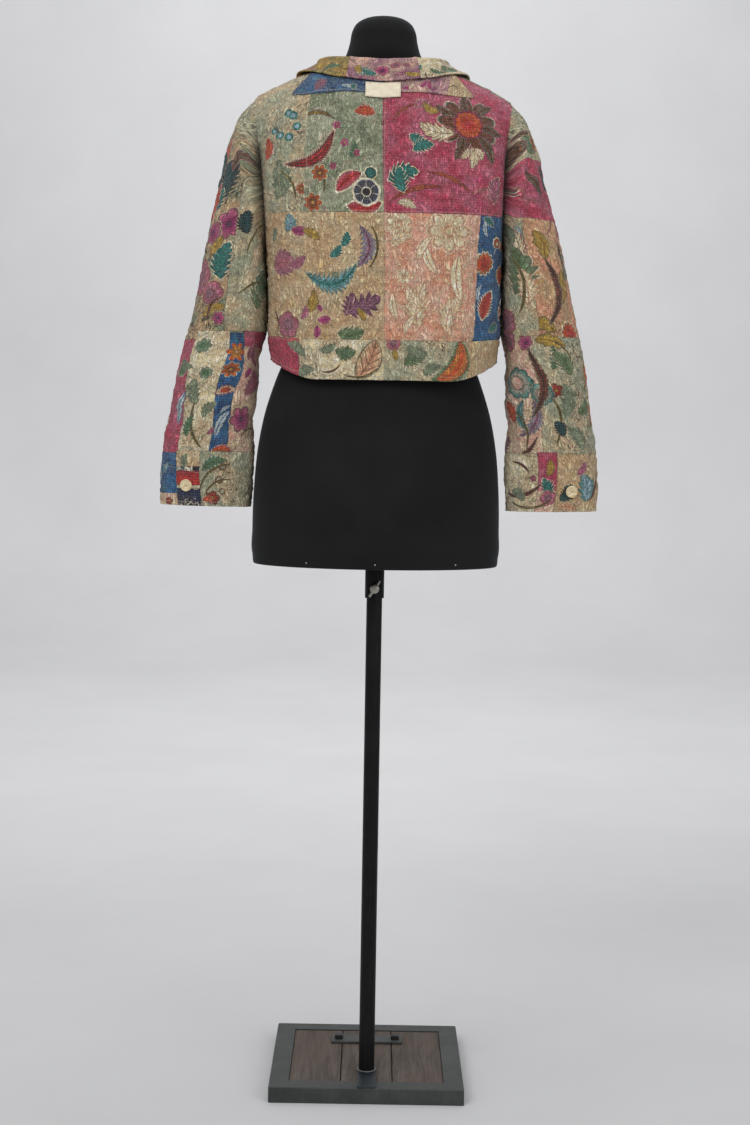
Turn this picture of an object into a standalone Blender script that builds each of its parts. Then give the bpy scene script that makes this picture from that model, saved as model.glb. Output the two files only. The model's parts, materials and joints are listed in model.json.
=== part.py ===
"""A cropped patchwork jacket hung on a limbless dress form that stands on a square foot.

Metres, +Z up. The pole is the Z axis and the underside of the foot is Z = 0. The back of the
jacket faces -Y, the wearer's right hand side is +X.
"""

import math

import bmesh
import bpy
import numpy as np
from mathutils import Matrix, Vector
from mathutils.kdtree import KDTree

# Driving dimensions of the cloth
WALL = 0.0020           # quilted cloth
TRIM_WALL = 0.0010      # strip, label
SEAM_GAP = 0.0004       # between two sewn pieces
LAY_GAP = 0.0004        # between a piece and what lies on it
HEM_Z = 1.110
BAND_Z = 1.170          # seam above the hem band
UNDERARM_Z = 1.310
YOKE_Z = 1.362          # seam below the back yoke
CHEST_Z = 1.420         # above it the cloth turns over the shoulder
LOWER_SHIFT = 0.008     # the jacket hangs this far off centre at the hem
LEAN_TOP = 1.55         # the shift begins below this height
LEAN_RUN = 0.35         # and is complete this far below it
HEM_RISE = 0.032        # the hem is higher at the sides and in front
RISE_START = 45         # plan angle at which the back's hem begins to rise, in degrees
RISE_SPREAD = 40
RISE_HEIGHT = 0.09      # above it the cloth isn't lifted
START_HANDLE = 0.40     # pull of the curve over the shoulder at the chest, by its chord
END_HANDLE = 0.38       # and at the top edge
SHOULDER_CROWN = 0.004  # the shoulder seam bows up this much
STRIP_LIFT = 0.0008     # from the yoke to the strip
LABEL_WIDTH = 0.053
LABEL_TOP = 1.560
LABEL_BOTTOM = 1.536
NECK_SHARE = 0.30       # part of each half's top edge that is neckline
KNEE_SHARE = 0.62       # seam between the two right hand back patches
KNEE_ANGLE = math.radians(55.8)
ARM_ANGLE = math.radians(70.5)
SEAM_Y = -0.022         # the shoulder seam lies behind the ridge
SHOULDER_TIP = (0.200, SEAM_Y, 1.546)
NECK_HALF_WIDTH = 0.095
NECK_CENTRE_Y = 0.012
NECK_BACK = 0.086
NECK_FRONT = 0.096
FRONT_NECK_SPREAD = 1.9     # draws the front's columns together at the centre of the neck
BAND_SHARE = 0.085      # half the width of the front band, as a share of a half front
BAND_FLAT = 0.6         # the part of the band's width that is flat, under the buttons
FRONT_NECK_SHARES = (0.127, 0.159, 0.187, 0.211, 0.233, 0.253, 0.270)   # between band and seam

# Horizontal sections of the jacket's body, hem to chest
BODY_ROWS = (
    # z, half_width, back, front, corner
    (1.110, 0.176, 0.112, 0.118, 2.6),
    (1.170, 0.181, 0.116, 0.124, 2.7),
    (1.240, 0.181, 0.117, 0.131, 2.9),
    (1.310, 0.184, 0.117, 0.137, 3.1),
    (1.362, 0.190, 0.116, 0.138, 3.5),
    (1.420, 0.196, 0.112, 0.132, 4.0),
)

# Height of the neckline by angle from the centre back
NECKLINE_ROWS = (
    # angle, z
    (0, 1.578),
    (30, 1.583),
    (60, 1.595),
    (90, 1.603),
    (120, 1.592),
    (150, 1.562),
    (180, 1.530),
)

# Directions in which the columns of a half front and a half back reach their top edge
FRONT_END_ROWS = (
    # share, x, y, z
    (0.000, 0.00, -0.30, 0.95),
    (0.085, 0.00, -0.30, 0.95),
    (0.127, 0.00, -0.42, 0.85),
    (0.187, -0.03, -0.70, 0.55),
    (0.233, -0.10, -0.90, 0.25),
    (0.270, -0.18, -0.93, 0.00),
    (0.300, -0.42, -0.93, -0.22),
    (0.410, -0.22, -0.93, -0.33),
    (0.520, -0.05, -0.93, -0.36),
    (0.620, 0.00, -0.93, -0.36),
    (1.000, 0.00, -0.93, -0.36),
)
BACK_END_ROWS = (
    # share, x, y, z
    (0.000, 0.00, 0.70, 0.71),
    (0.070, 0.00, 0.70, 0.70),
    (0.190, 0.00, 0.85, 0.52),
    (0.300, 0.00, 0.93, 0.36),
    (1.000, 0.00, 0.93, 0.36),
)

# The strip below the neckline: levels of its lower and upper edge by the share of a half
STRIP_ROWS = (
    # share, low, high
    (0.00, 1.785, 1.985),
    (0.15, 1.720, 1.985),
    (0.30, 1.610, 1.985),
    (0.41, 1.600, 1.985),
    (0.52, 1.610, 1.780),
    (0.60, 1.640, 1.670),
)

# The collar by the same angle: how high it stands, and where its fall ends, out and up
COLLAR_ROWS = (
    # angle, stand, fall_out, fall_up
    (0, 0.026, 0.016, -0.005),
    (40, 0.024, 0.022, -0.004),
    (65, 0.018, 0.030, -0.008),
    (90, 0.014, 0.037, -0.012),
    (115, 0.014, 0.044, -0.022),
    (140, 0.012, 0.046, -0.040),
    (160, 0.010, 0.040, -0.052),
    (174, 0.008, 0.032, -0.058),
)
COLLAR_PATCH_COLUMN = 2     # column of the body below the seams of the middle patch
COLLAR_ROLL = 0.0045        # half the width of the roll at its top
COLLAR_CLEAR = 0.0050       # from the cloth below to the outside of the fall

# Sections of a sleeve, armhole to cuff: the outer and inner edge, and the reach to each side
SLEEVE_ROWS = (
    # outer_x, outer_z, inner_x, inner_z, back, front
    (0.221, 1.522, 0.1895, 1.296, 0.083, 0.076),
    (0.236, 1.488, 0.1905, 1.285, 0.087, 0.080),
    (0.249, 1.446, 0.1910, 1.268, 0.086, 0.080),
    (0.262, 1.390, 0.1915, 1.246, 0.083, 0.078),
    (0.274, 1.335, 0.1915, 1.222, 0.079, 0.075),
    (0.285, 1.284, 0.1915, 1.190, 0.075, 0.072),
    (0.304, 1.190, 0.1910, 1.140, 0.069, 0.067),
    (0.320, 1.113, 0.1910, 1.085, 0.063, 0.062),
    (0.331, 1.034, 0.1915, 1.022, 0.056, 0.056),
    (0.338, 0.965, 0.1930, 0.962, 0.048, 0.048),
    (0.337, 0.914, 0.1960, 0.912, 0.042, 0.042),
)
SLEEVE_CORNER = 2.3
SLEEVE_STEPS = 18       # rows of points from armhole to cuff
ELBOW_STEP = 12         # the seam across the sleeve
CUFF_STEP = 16          # the seam above the cuff

# Largest folds of the sleeves: where they lie, how far they reach, and their depth
FOLD_ROWS = (
    # along, around, reach_along, reach_around, depth
    (0.20, 100, 0.06, 50, 0.005),
    (0.36, 150, 0.06, 45, 0.006),
    (0.52, 60, 0.05, 40, 0.005),
    (0.68, 165, 0.05, 55, 0.006),
    (0.76, 25, 0.05, 40, 0.004),
    (0.55, 250, 0.06, 50, 0.005),
    (0.72, 300, 0.05, 40, 0.004),
)

# Horizontal sections of the dress form, hip to neck
FORM_ROWS = (
    # z, half_width, back, front
    (0.824, 0.1830, 0.109, 0.101),
    (0.828, 0.1885, 0.114, 0.106),
    (0.838, 0.1920, 0.118, 0.110),
    (0.880, 0.1930, 0.121, 0.111),
    (0.942, 0.1916, 0.122, 0.110),
    (1.014, 0.1850, 0.116, 0.108),
    (1.058, 0.1765, 0.108, 0.105),
    (1.111, 0.1600, 0.095, 0.100),
    (1.160, 0.1410, 0.084, 0.094),
    (1.200, 0.1310, 0.080, 0.092),
    (1.250, 0.1330, 0.083, 0.098),
    (1.300, 0.1420, 0.089, 0.112),
    (1.360, 0.1530, 0.096, 0.124),
    (1.400, 0.1590, 0.099, 0.125),
    (1.440, 0.1640, 0.099, 0.117),
    (1.480, 0.1680, 0.094, 0.102),
    (1.510, 0.1710, 0.086, 0.088),
    (1.535, 0.1710, 0.073, 0.072),
    (1.550, 0.1680, 0.062, 0.060),
    (1.562, 0.1620, 0.054, 0.052),
    (1.5705, 0.1540, 0.050, 0.048),
    (1.5795, 0.1400, 0.046, 0.045),
    (1.5877, 0.1200, 0.044, 0.043),
    (1.5924, 0.1050, 0.044, 0.043),
    (1.5960, 0.0850, 0.047, 0.047),
    (1.6050, 0.0680, 0.050, 0.051),
    (1.620, 0.0590, 0.052, 0.053),
    (1.640, 0.0530, 0.050, 0.051),
    (1.657, 0.0500, 0.049, 0.049),
    (1.668, 0.0445, 0.044, 0.044),
    (1.676, 0.0330, 0.033, 0.033),
    (1.680, 0.0180, 0.018, 0.018),
)
FORM_SIDES = 32
FORM_BORE = 0.0158          # radius of the bore that takes the sleeve tube
FORM_BORE_TOP = 1.465

# The stand
POLE_RADIUS = 0.01225
POLE_TOP = 1.250
TUBE_RADIUS = 0.0150
TUBE_BORE = 0.0129
TUBE_BOTTOM = 0.772
TUBE_TOP = 1.460
FOOT_SIDE = 0.300
FOOT_HEIGHT = 0.028
FOOT_RAIL = 0.030           # width of the rails round the planks
FOOT_NEAR = 0.069           # from the near edge of the foot to the pole's axis
FOOT_EDGE = 0.0015
PLANK_TOP = 0.0265
PLANK_COUNT = 3
PLANK_GAP = 0.0015
BAR_WIDTH = 0.0275          # flat bar under the pole
BAR_THICK = 0.004
BAR_FAR = 0.021
STRAP_SIZE = (0.116, 0.034, 0.004)
STRAP_SHARE = 0.737         # how far across the foot the strap lies
BOLT_SIDE = 0.013
BOLT_HEIGHT = 0.006
BOLT_INSET = 0.012
SCREW_Z = 0.788
SCREW_SHAFT = 0.0030
SCREW_HOLE = 0.0031
SCREW_HEAD = 0.0072
SCREW_HEAD_LENGTH = 0.010
SCREW_HEAD_GAP = 0.0040     # from the tube to the head
SCREW_BAR = 0.0021
SCREW_BAR_LENGTH = 0.030
SCREW_BAR_TILT = math.radians(57.5)

BUTTON_RADIUS = 0.0095
BUTTON_THICK = 0.0030
BUTTON_RIM = 0.0016
BUTTON_LIFT = 0.0006        # from the cloth to the button, the thread's length
BUTTON_ROWS = (1, 4, 8, 11, 15)     # rows of faces of the front band that carry a button
CUFF_BUTTON_ALONG = 0.955
CUFF_BUTTON_AROUND = 66

# Colour, roughness and metallic value of each finish
FINISHES = {
    "sage": ((0.36, 0.38, 0.28, 1), 0.85, 0.0),
    "crimson": ((0.42, 0.06, 0.11, 1), 0.85, 0.0),
    "tan": ((0.52, 0.36, 0.21, 1), 0.85, 0.0),
    "peach": ((0.60, 0.31, 0.19, 1), 0.85, 0.0),
    "blue": ((0.06, 0.15, 0.28, 1), 0.85, 0.0),
    "cream": ((0.56, 0.50, 0.36, 1), 0.85, 0.0),
    "olive": ((0.32, 0.25, 0.09, 1), 0.85, 0.0),
    "label": ((0.62, 0.57, 0.47, 1), 0.80, 0.0),
    "button": ((0.55, 0.46, 0.30, 1), 0.45, 0.0),
    "jersey": ((0.012, 0.012, 0.014, 1), 0.90, 0.0),
    "dark_steel": ((0.035, 0.037, 0.040, 1), 0.45, 0.9),
    "bright_steel": ((0.45, 0.44, 0.40, 1), 0.35, 1.0),
    "plank": ((0.085, 0.065, 0.055, 1), 0.80, 0.0),
}

BACK = -1
FRONT = 1
STEP = 1e-3                 # short step for a slope on a surface
EDGE_MARGIN = 0.004         # normals are taken this far inside a surface's edges


def smooth(value):
    """Ease from 0 to 1."""
    value = min(max(value, 0.0), 1.0)
    return value * value * (3 - 2 * value)


def read(rows, at):
    """Values of a table at a place in its first column, on a curve through its rows."""
    table = np.array(rows, dtype=float)
    places = table[:, 0]
    at = min(max(at, places[0]), places[-1])
    index = int(min(max(np.searchsorted(places, at) - 1, 0), len(places) - 2))
    slopes = np.gradient(table[:, 1:], places, axis=0)
    span = places[index + 1] - places[index]
    t = (at - places[index]) / span
    low, high = table[index, 1:], table[index + 1, 1:]
    return ((2 * t**3 - 3 * t**2 + 1) * low + (t**3 - 2 * t**2 + t) * span * slopes[index]
            + (3 * t**2 - 2 * t**3) * high + (t**3 - t**2) * span * slopes[index + 1])


def squircle(angle, half_width, depth, corner):
    """Point of a squared oval at a plan angle from the depth axis."""
    x, y = math.sin(angle), math.cos(angle)
    reach = (abs(x / half_width) ** corner + abs(y / depth) ** corner) ** (-1 / corner)
    return x * reach, y * reach


def edge_angle(z):
    """Plan angle at which the cloth ends: the side seam, then the curve of the armhole."""
    t = min(max((z - UNDERARM_Z) / (CHEST_Z - UNDERARM_Z), 0.0), 1.0)
    turn = (1 - (1 - t) ** 2.2) ** (1 / 2.2)
    return math.pi / 2 + (ARM_ANGLE - math.pi / 2) * turn


def column_angle(share, z):
    """Plan angle of a column: upright up to the knee, squeezed towards the armhole past it."""
    if share <= KNEE_SHARE:
        return share / KNEE_SHARE * KNEE_ANGLE
    beyond = (share - KNEE_SHARE) / (1 - KNEE_SHARE)
    return KNEE_ANGLE + beyond * (edge_angle(z) - KNEE_ANGLE)


def hanging_point(face, share, z):
    """Point of the right half of the body below the chest."""
    half_width, back, front, corner = read(BODY_ROWS, z)
    depth = back if face == BACK else front
    x, y = squircle(column_angle(share, z), half_width, depth, corner)
    around = column_angle(share, z) if face == BACK else math.pi / 2
    rise = HEM_RISE * smooth((math.degrees(around) - RISE_START) / RISE_SPREAD)
    lift = rise * (1 - smooth((z - HEM_Z) / RISE_HEIGHT))
    return Vector((x, face * y, z + lift))


def neckline_point(angle):
    """Point of the right half of the neckline, by its angle from the centre back in degrees."""
    turn = math.radians(angle)
    reach = NECK_BACK if angle < 90 else NECK_FRONT
    y = NECK_CENTRE_Y - reach * math.cos(turn)
    return Vector((NECK_HALF_WIDTH * math.sin(turn), y, read(NECKLINE_ROWS, angle)[0]))


SEAM_ANGLE = math.degrees(math.acos((NECK_CENTRE_Y - SEAM_Y) / NECK_BACK))


def neckline_angle(face, share):
    """Angle of the neckline at which a column of the body ends."""
    along = share / NECK_SHARE
    if face == BACK:
        return SEAM_ANGLE * along
    return 180 + (SEAM_ANGLE - 180) * along**FRONT_NECK_SPREAD


def top_point(face, share):
    """Point of the top edge of a half: the neckline, then the shoulder seam."""
    if share <= NECK_SHARE:
        return neckline_point(neckline_angle(face, share))
    along = (share - NECK_SHARE) / (1 - NECK_SHARE)
    point = neckline_point(SEAM_ANGLE).lerp(Vector(SHOULDER_TIP), along)
    point.z += SHOULDER_CROWN * 4 * along * (1 - along)
    return point


def end_direction(face, share):
    """Direction in which a column of the body reaches its top edge."""
    return Vector(read(BACK_END_ROWS if face == BACK else FRONT_END_ROWS, share)).normalized()


def body_half(face, share, level):
    """Outer point of the right half. Level 0 is the hem, 1 the chest and 2 the top edge."""
    if level <= 1:
        return hanging_point(face, share, HEM_Z + level * (CHEST_Z - HEM_Z))
    start = hanging_point(face, share, CHEST_Z)
    end = top_point(face, share)
    chord = (end - start).length
    first = start + Vector((0, 0, START_HANDLE * chord))
    second = end - end_direction(face, share) * END_HANDLE * chord
    t = level - 1
    return ((1 - t) ** 3 * start + 3 * (1 - t) ** 2 * t * first
            + 3 * (1 - t) * t**2 * second + t**3 * end)


def body_point(face, side, share, level):
    """Outer point of the body on either side, with the jacket's lean to the wearer's right."""
    point = body_half(face, share, level)
    return Vector((side * point.x + lean(point.z), point.y, point.z))


def lean(z):
    """How far the jacket hangs off centre at a height."""
    return LOWER_SHIFT * smooth((LEAN_TOP - z) / LEAN_RUN)


def surface_normal(surface, u, v, outside):
    """Unit normal of a surface from two short chords, on the side that a hint points to."""
    du = surface(u + STEP, v) - surface(u - STEP, v)
    dv = surface(u, v + STEP) - surface(u, v - STEP)
    normal = du.cross(dv).normalized()
    return normal if normal.dot(outside) > 0 else -normal


def body_normal(face, side, share, level):
    """Outward normal of the body, taken just inside its edges."""
    share = min(max(share, EDGE_MARGIN), 1 - EDGE_MARGIN)
    level = min(max(level, EDGE_MARGIN), 2 - EDGE_MARGIN)
    hint = Vector((side * 0.7 * share, face * 1.0, 0.0 if level < 1.3 else 0.9))
    return surface_normal(lambda u, v: body_point(face, side, u, v), share, level, hint)


def level_of(z):
    """Level of a height below the chest."""
    return (z - HEM_Z) / (CHEST_Z - HEM_Z)


BODY_LEVELS = [level_of(z) for z in (HEM_Z, 1.140, BAND_Z, 1.205, 1.240, 1.275, UNDERARM_Z,
                                     1.318, 1.335, YOKE_Z, 1.390, CHEST_Z)]
BODY_LEVELS += [1.18, 1.36, 1.54, 1.70, 1.82, 1.91, 2.0]
BAND_ROW = 2
UNDERARM_ROW = 6
YOKE_ROW = 9
TOP_ROW = len(BODY_LEVELS) - 1
LABEL_ROW = TOP_ROW - 2
BODY_SHARES = (0, 0.07, 0.135, 0.19, 0.245, NECK_SHARE, 0.41, 0.52, KNEE_SHARE, 0.72, 0.80,
               0.87, 0.94, 1.0)
NECK_COLUMN = BODY_SHARES.index(NECK_SHARE)
KNEE_COLUMN = BODY_SHARES.index(KNEE_SHARE)
SIDE_COLUMN = len(BODY_SHARES) - 1


def draw_in(points, inset):
    """Move each edge of a grid of points inwards, so that sewn pieces stay apart."""
    rows, columns = len(points), len(points[0])
    moved = [[point.copy() for point in row] for row in points]
    for i in range(rows):
        for j in range(columns):
            shift = Vector()
            if i == 0:
                shift += (points[1][j] - points[0][j]).normalized()
            if i == rows - 1:
                shift += (points[-2][j] - points[-1][j]).normalized()
            if j == 0:
                shift += (points[i][1] - points[i][0]).normalized()
            if j == columns - 1:
                shift += (points[i][-2] - points[i][-1]).normalized()
            moved[i][j] += shift * inset
    return moved


def wall_object(name, points, normals, thickness, finish, inset=SEAM_GAP / 2):
    """Closed wall from a grid of outer points and the same grid moved in along the normals."""
    outer = draw_in(points, inset)
    rows, columns = len(outer), len(outer[0])
    mesh = bmesh.new()
    skins = []
    for depth in (0, thickness):
        skins.append([[mesh.verts.new(outer[i][j] - normals[i][j] * depth)
                       for j in range(columns)] for i in range(rows)])
    outer_skin, inner_skin = skins
    for skin in skins:
        for i in range(rows - 1):
            for j in range(columns - 1):
                mesh.faces.new((skin[i][j], skin[i][j + 1], skin[i + 1][j + 1], skin[i + 1][j]))
    for i in (0, rows - 1):
        for j in range(columns - 1):
            mesh.faces.new((outer_skin[i][j], outer_skin[i][j + 1],
                            inner_skin[i][j + 1], inner_skin[i][j]))
    for j in (0, columns - 1):
        for i in range(rows - 1):
            mesh.faces.new((outer_skin[i][j], outer_skin[i + 1][j],
                            inner_skin[i + 1][j], inner_skin[i][j]))
    return finish_mesh(name, mesh, finish)


def finish_mesh(name, mesh, finish):
    """Turn a bmesh into a named object of the part, its faces pointing out."""
    bmesh.ops.recalc_face_normals(mesh, faces=mesh.faces)
    if mesh.calc_volume(signed=True) < 0:
        bmesh.ops.reverse_faces(mesh, faces=mesh.faces)
    data = bpy.data.meshes.new(name)
    mesh.to_mesh(data)
    mesh.free()
    data.shade_smooth()
    data.set_sharp_from_angle(angle=math.radians(35))
    data.materials.append(material(finish))
    thing = bpy.data.objects.new(name, data)
    PART.objects.link(thing)
    return thing


def material(name):
    """Principled finish from the table, made once."""
    found = bpy.data.materials.get(name)
    if found:
        return found
    colour, roughness, metallic = FINISHES[name]
    made = bpy.data.materials.new(name)
    made.use_nodes = True
    shader = made.node_tree.nodes["Principled BSDF"]
    shader.inputs["Base Color"].default_value = colour
    shader.inputs["Roughness"].default_value = roughness
    shader.inputs["Metallic"].default_value = metallic
    return made


def body_panel(name, face, side, rows, columns, finish):
    """Piece of the jacket's body between two rows and two columns."""
    levels = BODY_LEVELS[rows[0]:rows[1] + 1]
    shares = BODY_SHARES[columns[0]:columns[1] + 1]
    points = [[body_point(face, side, share, level) for share in shares] for level in levels]
    normals = [[body_normal(face, side, share, level) for share in shares] for level in levels]
    return wall_object(name, points, normals, WALL, finish)


def make_body():
    """Back yoke, lower back patches, fronts and hem bands."""
    half = (0, SIDE_COLUMN)
    yoke = (YOKE_ROW, TOP_ROW)
    lower = (BAND_ROW, YOKE_ROW)
    band = (0, BAND_ROW)
    body_panel("back_yoke_left", BACK, -1, yoke, half, "sage")
    body_panel("back_yoke_right", BACK, 1, yoke, half, "crimson")
    body_panel("back_lower_left", BACK, -1, lower, half, "tan")
    body_panel("back_lower_middle", BACK, 1, lower, (0, KNEE_COLUMN), "peach")
    body_panel("back_lower_right", BACK, 1, lower, (KNEE_COLUMN, SIDE_COLUMN), "blue")
    body_panel("hem_back_left", BACK, -1, band, half, "cream")
    body_panel("hem_back_right", BACK, 1, band, half, "sage")


def front_shares():
    """Columns of a half front, from the edge of the front band outwards."""
    return (BAND_SHARE, *FRONT_NECK_SHARES) + BODY_SHARES[NECK_COLUMN:]


def front_panel(name, side, rows, finish):
    """Front of the body from the front band to the side seam."""
    levels = BODY_LEVELS[rows[0]:rows[1] + 1]
    shares = front_shares()
    points = [[body_point(FRONT, side, share, level) for share in shares] for level in levels]
    normals = [[body_normal(FRONT, side, share, level) for share in shares]
               for level in levels]
    return wall_object(name, points, normals, WALL, finish)


def band_point(offset, level):
    """Outer point of the front band, offset from -1 to 1 across it."""
    side = 1 if offset >= 0 else -1
    return body_point(FRONT, side, abs(offset) * BAND_SHARE, level)


def make_front():
    """Fronts, their hem bands, and the two front bands that button over each other."""
    for side, word, cloth in ((-1, "left", "tan"), (1, "right", "sage")):
        front_panel(f"front_{word}", side, (BAND_ROW, TOP_ROW), cloth)
        front_panel(f"hem_front_{word}", side, (0, BAND_ROW), "peach")
    across = (-1.0, -BAND_FLAT, BAND_FLAT, 1.0)
    normals = [[body_normal(FRONT, 1 if offset > 0 else -1, abs(offset) * BAND_SHARE, level)
                for offset in across] for level in BODY_LEVELS]
    over = [[band_point(offset, level) for offset in across] for level in BODY_LEVELS]
    wall_object("front_band_over", over, normals, WALL, "cream")
    sunk = WALL + LAY_GAP
    under = [[point - normal * sunk for point, normal in zip(*rows)]
             for rows in zip(over, normals)]
    wall_object("front_band_under", under, normals, WALL, "cream", inset=0.002)


def yoke_cell(values, at):
    """Index of the cell that holds a value, and how far into it the value lies."""
    index = min(max(int(np.searchsorted(values, at)) - 1, 0), len(values) - 2)
    return index, (at - values[index]) / (values[index + 1] - values[index])


def on_yoke(side, share, level):
    """Point and normal on the flat faces of the back yoke."""
    i, up = yoke_cell(BODY_LEVELS, level)
    j, across = yoke_cell(BODY_SHARES, share)
    found = []
    for reader in (body_point, body_normal):
        low, high = (reader(BACK, side, BODY_SHARES[j], row).lerp(
            reader(BACK, side, BODY_SHARES[j + 1], row), across) for row in BODY_LEVELS[i:i + 2])
        found.append(low.lerp(high, up))
    return found[0], found[1].normalized()


def lay_on_yoke(name, places, lift, thickness, finish):
    """Thin piece on the back yoke from rows of (side, share, level), its inside a lift away."""
    grid = [[on_yoke(*place) for place in row] for row in places]
    points = [[point + normal * (lift + thickness) for point, normal in row] for row in grid]
    normals = [[normal for _, normal in row] for row in grid]
    wall_object(name, points, normals, thickness, finish, inset=0)


def strip_levels(share):
    """Levels of the strip's rows in one column, on the rows of the yoke where they meet it."""
    low, high = read(STRIP_ROWS, share)
    high = min(high, STRIP_ROWS[0][2])
    least = 0.1 * (high - low)
    inner = [min(max(level, low + least * k), high - least * (4 - k))
             for k, level in enumerate(BODY_LEVELS[TOP_ROW - 3:TOP_ROW], 1)]
    return [low, *inner, high]


def make_neck_strip():
    """Narrow strip sewn on the yoke along the back neckline, its ends cut on the slant."""
    kept = [share for share in BODY_SHARES if share < STRIP_ROWS[-1][0]] + [STRIP_ROWS[-1][0]]
    half = [0]
    for before, after in zip(kept, kept[1:]):
        cuts = 4 if before > NECK_SHARE else 2
        half += [before + (after - before) * k / cuts for k in range(1, cuts + 1)]
    columns = [(side, share, strip_levels(share)) for side in (-1, 1) for share in half]
    columns = columns[len(half) - 1:0:-1] + columns[len(half):]
    places = [[(side, share, levels[row]) for side, share, levels in columns]
              for row in range(5)]
    lay_on_yoke("neck_strip", places, STRIP_LIFT, TRIM_WALL, "blue")


def make_label():
    """Blank cotton label over the strip and the yoke."""
    places = []
    for level in (label_level(LABEL_TOP), BODY_LEVELS[LABEL_ROW], label_level(LABEL_BOTTOM)):
        share = label_share(LABEL_WIDTH / 2, level)
        places.append([(-1, share, level), (1, 0, level), (1, share, level)])
    lay_on_yoke("label", places, STRIP_LIFT + TRIM_WALL + LAY_GAP, TRIM_WALL, "label")


def label_level(z):
    """Level of the centre back at a height above the chest, by halving."""
    low, high = 1.0, 2.0
    for _ in range(24):
        middle = (low + high) / 2
        if body_half(BACK, 0, middle).z < z:
            low = middle
        else:
            high = middle
    return low


def label_share(x, level):
    """Share whose column passes a distance from the centre back, by halving."""
    low, high = 0.0, NECK_SHARE
    for _ in range(24):
        middle = (low + high) / 2
        if body_half(BACK, middle, level).x < x:
            low = middle
        else:
            high = middle
    return low


def neck_out(angle):
    """Level direction away from the neck at an angle of the neckline."""
    turn = math.radians(angle)
    reach = NECK_BACK if angle < 90 else NECK_FRONT
    return Vector((math.sin(turn) / NECK_HALF_WIDTH, -math.cos(turn) / reach, 0)).normalized()


def collar_section(angle):
    """Outer points of the folded collar at one angle, from the stand's foot to the fall."""
    stand, fall_out, fall_up = read(COLLAR_ROWS, angle)
    foot = neckline_point(angle)
    out = neck_out(angle)
    up = Vector((0, 0, 1))
    inner = foot + up * (SEAM_GAP + WALL * 0.3) - out * WALL * 0.2
    roll_in = foot + up * (stand - COLLAR_ROLL) - out * 0.001
    edge = foot + out * fall_out + up * fall_up
    middle = foot + out * (COLLAR_ROLL - 0.001) + up * (stand - COLLAR_ROLL)
    points = [inner, inner.lerp(roll_in, 0.5), roll_in]
    for degrees in (135, 90, 45):
        turn = math.radians(degrees)
        points.append(middle + out * COLLAR_ROLL * math.cos(turn)
                      + up * COLLAR_ROLL * math.sin(turn))
    roll_out = middle + out * COLLAR_ROLL
    points += [roll_out, roll_out.lerp(edge, 0.34) + up * 0.0015,
               roll_out.lerp(edge, 0.68) + up * 0.001, edge]
    return points


def body_samples():
    """Points and normals of the cloth round the neck, in a tree that finds the nearest one."""
    found = []
    for face in (BACK, FRONT):
        for side in (-1, 1):
            for share in np.linspace(0.0, 0.8, 25).tolist():
                for level in np.linspace(1.1, 2.0, 31).tolist():
                    found.append((body_point(face, side, share, level),
                                  body_normal(face, side, share, level)))
    tree = KDTree(len(found))
    for index, (point, _) in enumerate(found):
        tree.insert(point, index)
    tree.balance()
    return tree, found


def lay_on_body(point, samples):
    """Move a point of the collar out until it lies clear of the cloth below it."""
    tree, found = samples
    _, index, _ = tree.find(point)
    near, normal = found[index]
    short = COLLAR_CLEAR - (point - near).dot(normal)
    return point + normal * short if short > 0 else point


def collar_grid(angles):
    """Outer points and normals of the whole collar, one line for each angle."""
    samples = body_samples()
    points = []
    for angle in angles:
        side = -1 if angle < 0 else 1
        line = [Vector((side * p.x, p.y, p.z)) for p in collar_section(abs(angle))]
        points.append(line[:6] + [lay_on_body(p, samples) for p in line[6:]])
    last = len(points) - 1
    normals = []
    for i, line in enumerate(points):
        before, after = points[max(i - 1, 0)], points[min(i + 1, last)]
        normals.append([])
        for k in range(len(line)):
            across = line[min(k + 1, len(line) - 1)] - line[max(k - 1, 0)]
            normals[-1].append((after[k] - before[k]).cross(across).normalized())
    return points, normals


def make_collar():
    """Folded collar in three patches."""
    back = [neckline_angle(BACK, share) for share in BODY_SHARES[:NECK_COLUMN]]
    front = [neckline_angle(FRONT, share) for share in reversed(front_shares())
             if share <= NECK_SHARE]
    half = back + front
    points, normals = collar_grid([-angle for angle in reversed(half[1:])] + half)
    centre = len(half) - 1
    first, second = centre - COLLAR_PATCH_COLUMN, centre + COLLAR_PATCH_COLUMN
    for name, start, stop, finish in (("collar_left", 0, first, "olive"),
                                      ("collar_middle", first, second, "tan"),
                                      ("collar_right", second, len(points) - 1, "sage")):
        wall_object(name, points[start:stop + 1], normals[start:stop + 1], -WALL, finish)


def armhole_loop():
    """Levels of the armhole edge from the shoulder down the back and up the front."""
    up = BODY_LEVELS[UNDERARM_ROW:]
    down = [(BACK, level) for level in reversed(up)]
    return down + [(FRONT, level) for level in up[1:-1]]


LOOP = armhole_loop()


def loop_angles():
    """Angle round the sleeve of each point of the armhole, by its share of the loop."""
    points = [body_half(face, 1.0, level) for face, level in LOOP]
    lengths = [0.0]
    for a, b in zip(points, points[1:] + points[:1]):
        lengths.append(lengths[-1] + (b - a).length)
    return [360 * length / lengths[-1] for length in lengths[:-1]]


LOOP_ANGLES = loop_angles()


def sleeve_section(row, angle):
    """Point of one section of the right sleeve. Angle 0 is the outer edge, 90 the back."""
    outer_x, outer_z, inner_x, inner_z, back, front = row
    outer = Vector((outer_x, 0, outer_z))
    inner = Vector((inner_x, 0, inner_z))
    turn = math.radians(angle)
    cosine, sine = math.cos(turn), math.sin(turn)
    reach = (abs(cosine) ** SLEEVE_CORNER + abs(sine) ** SLEEVE_CORNER) ** (-1 / SLEEVE_CORNER)
    depth = back if sine >= 0 else front
    centre = (outer + inner) / 2
    return centre + (outer - centre) * cosine * reach - Vector((0, depth * sine * reach, 0))


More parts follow.
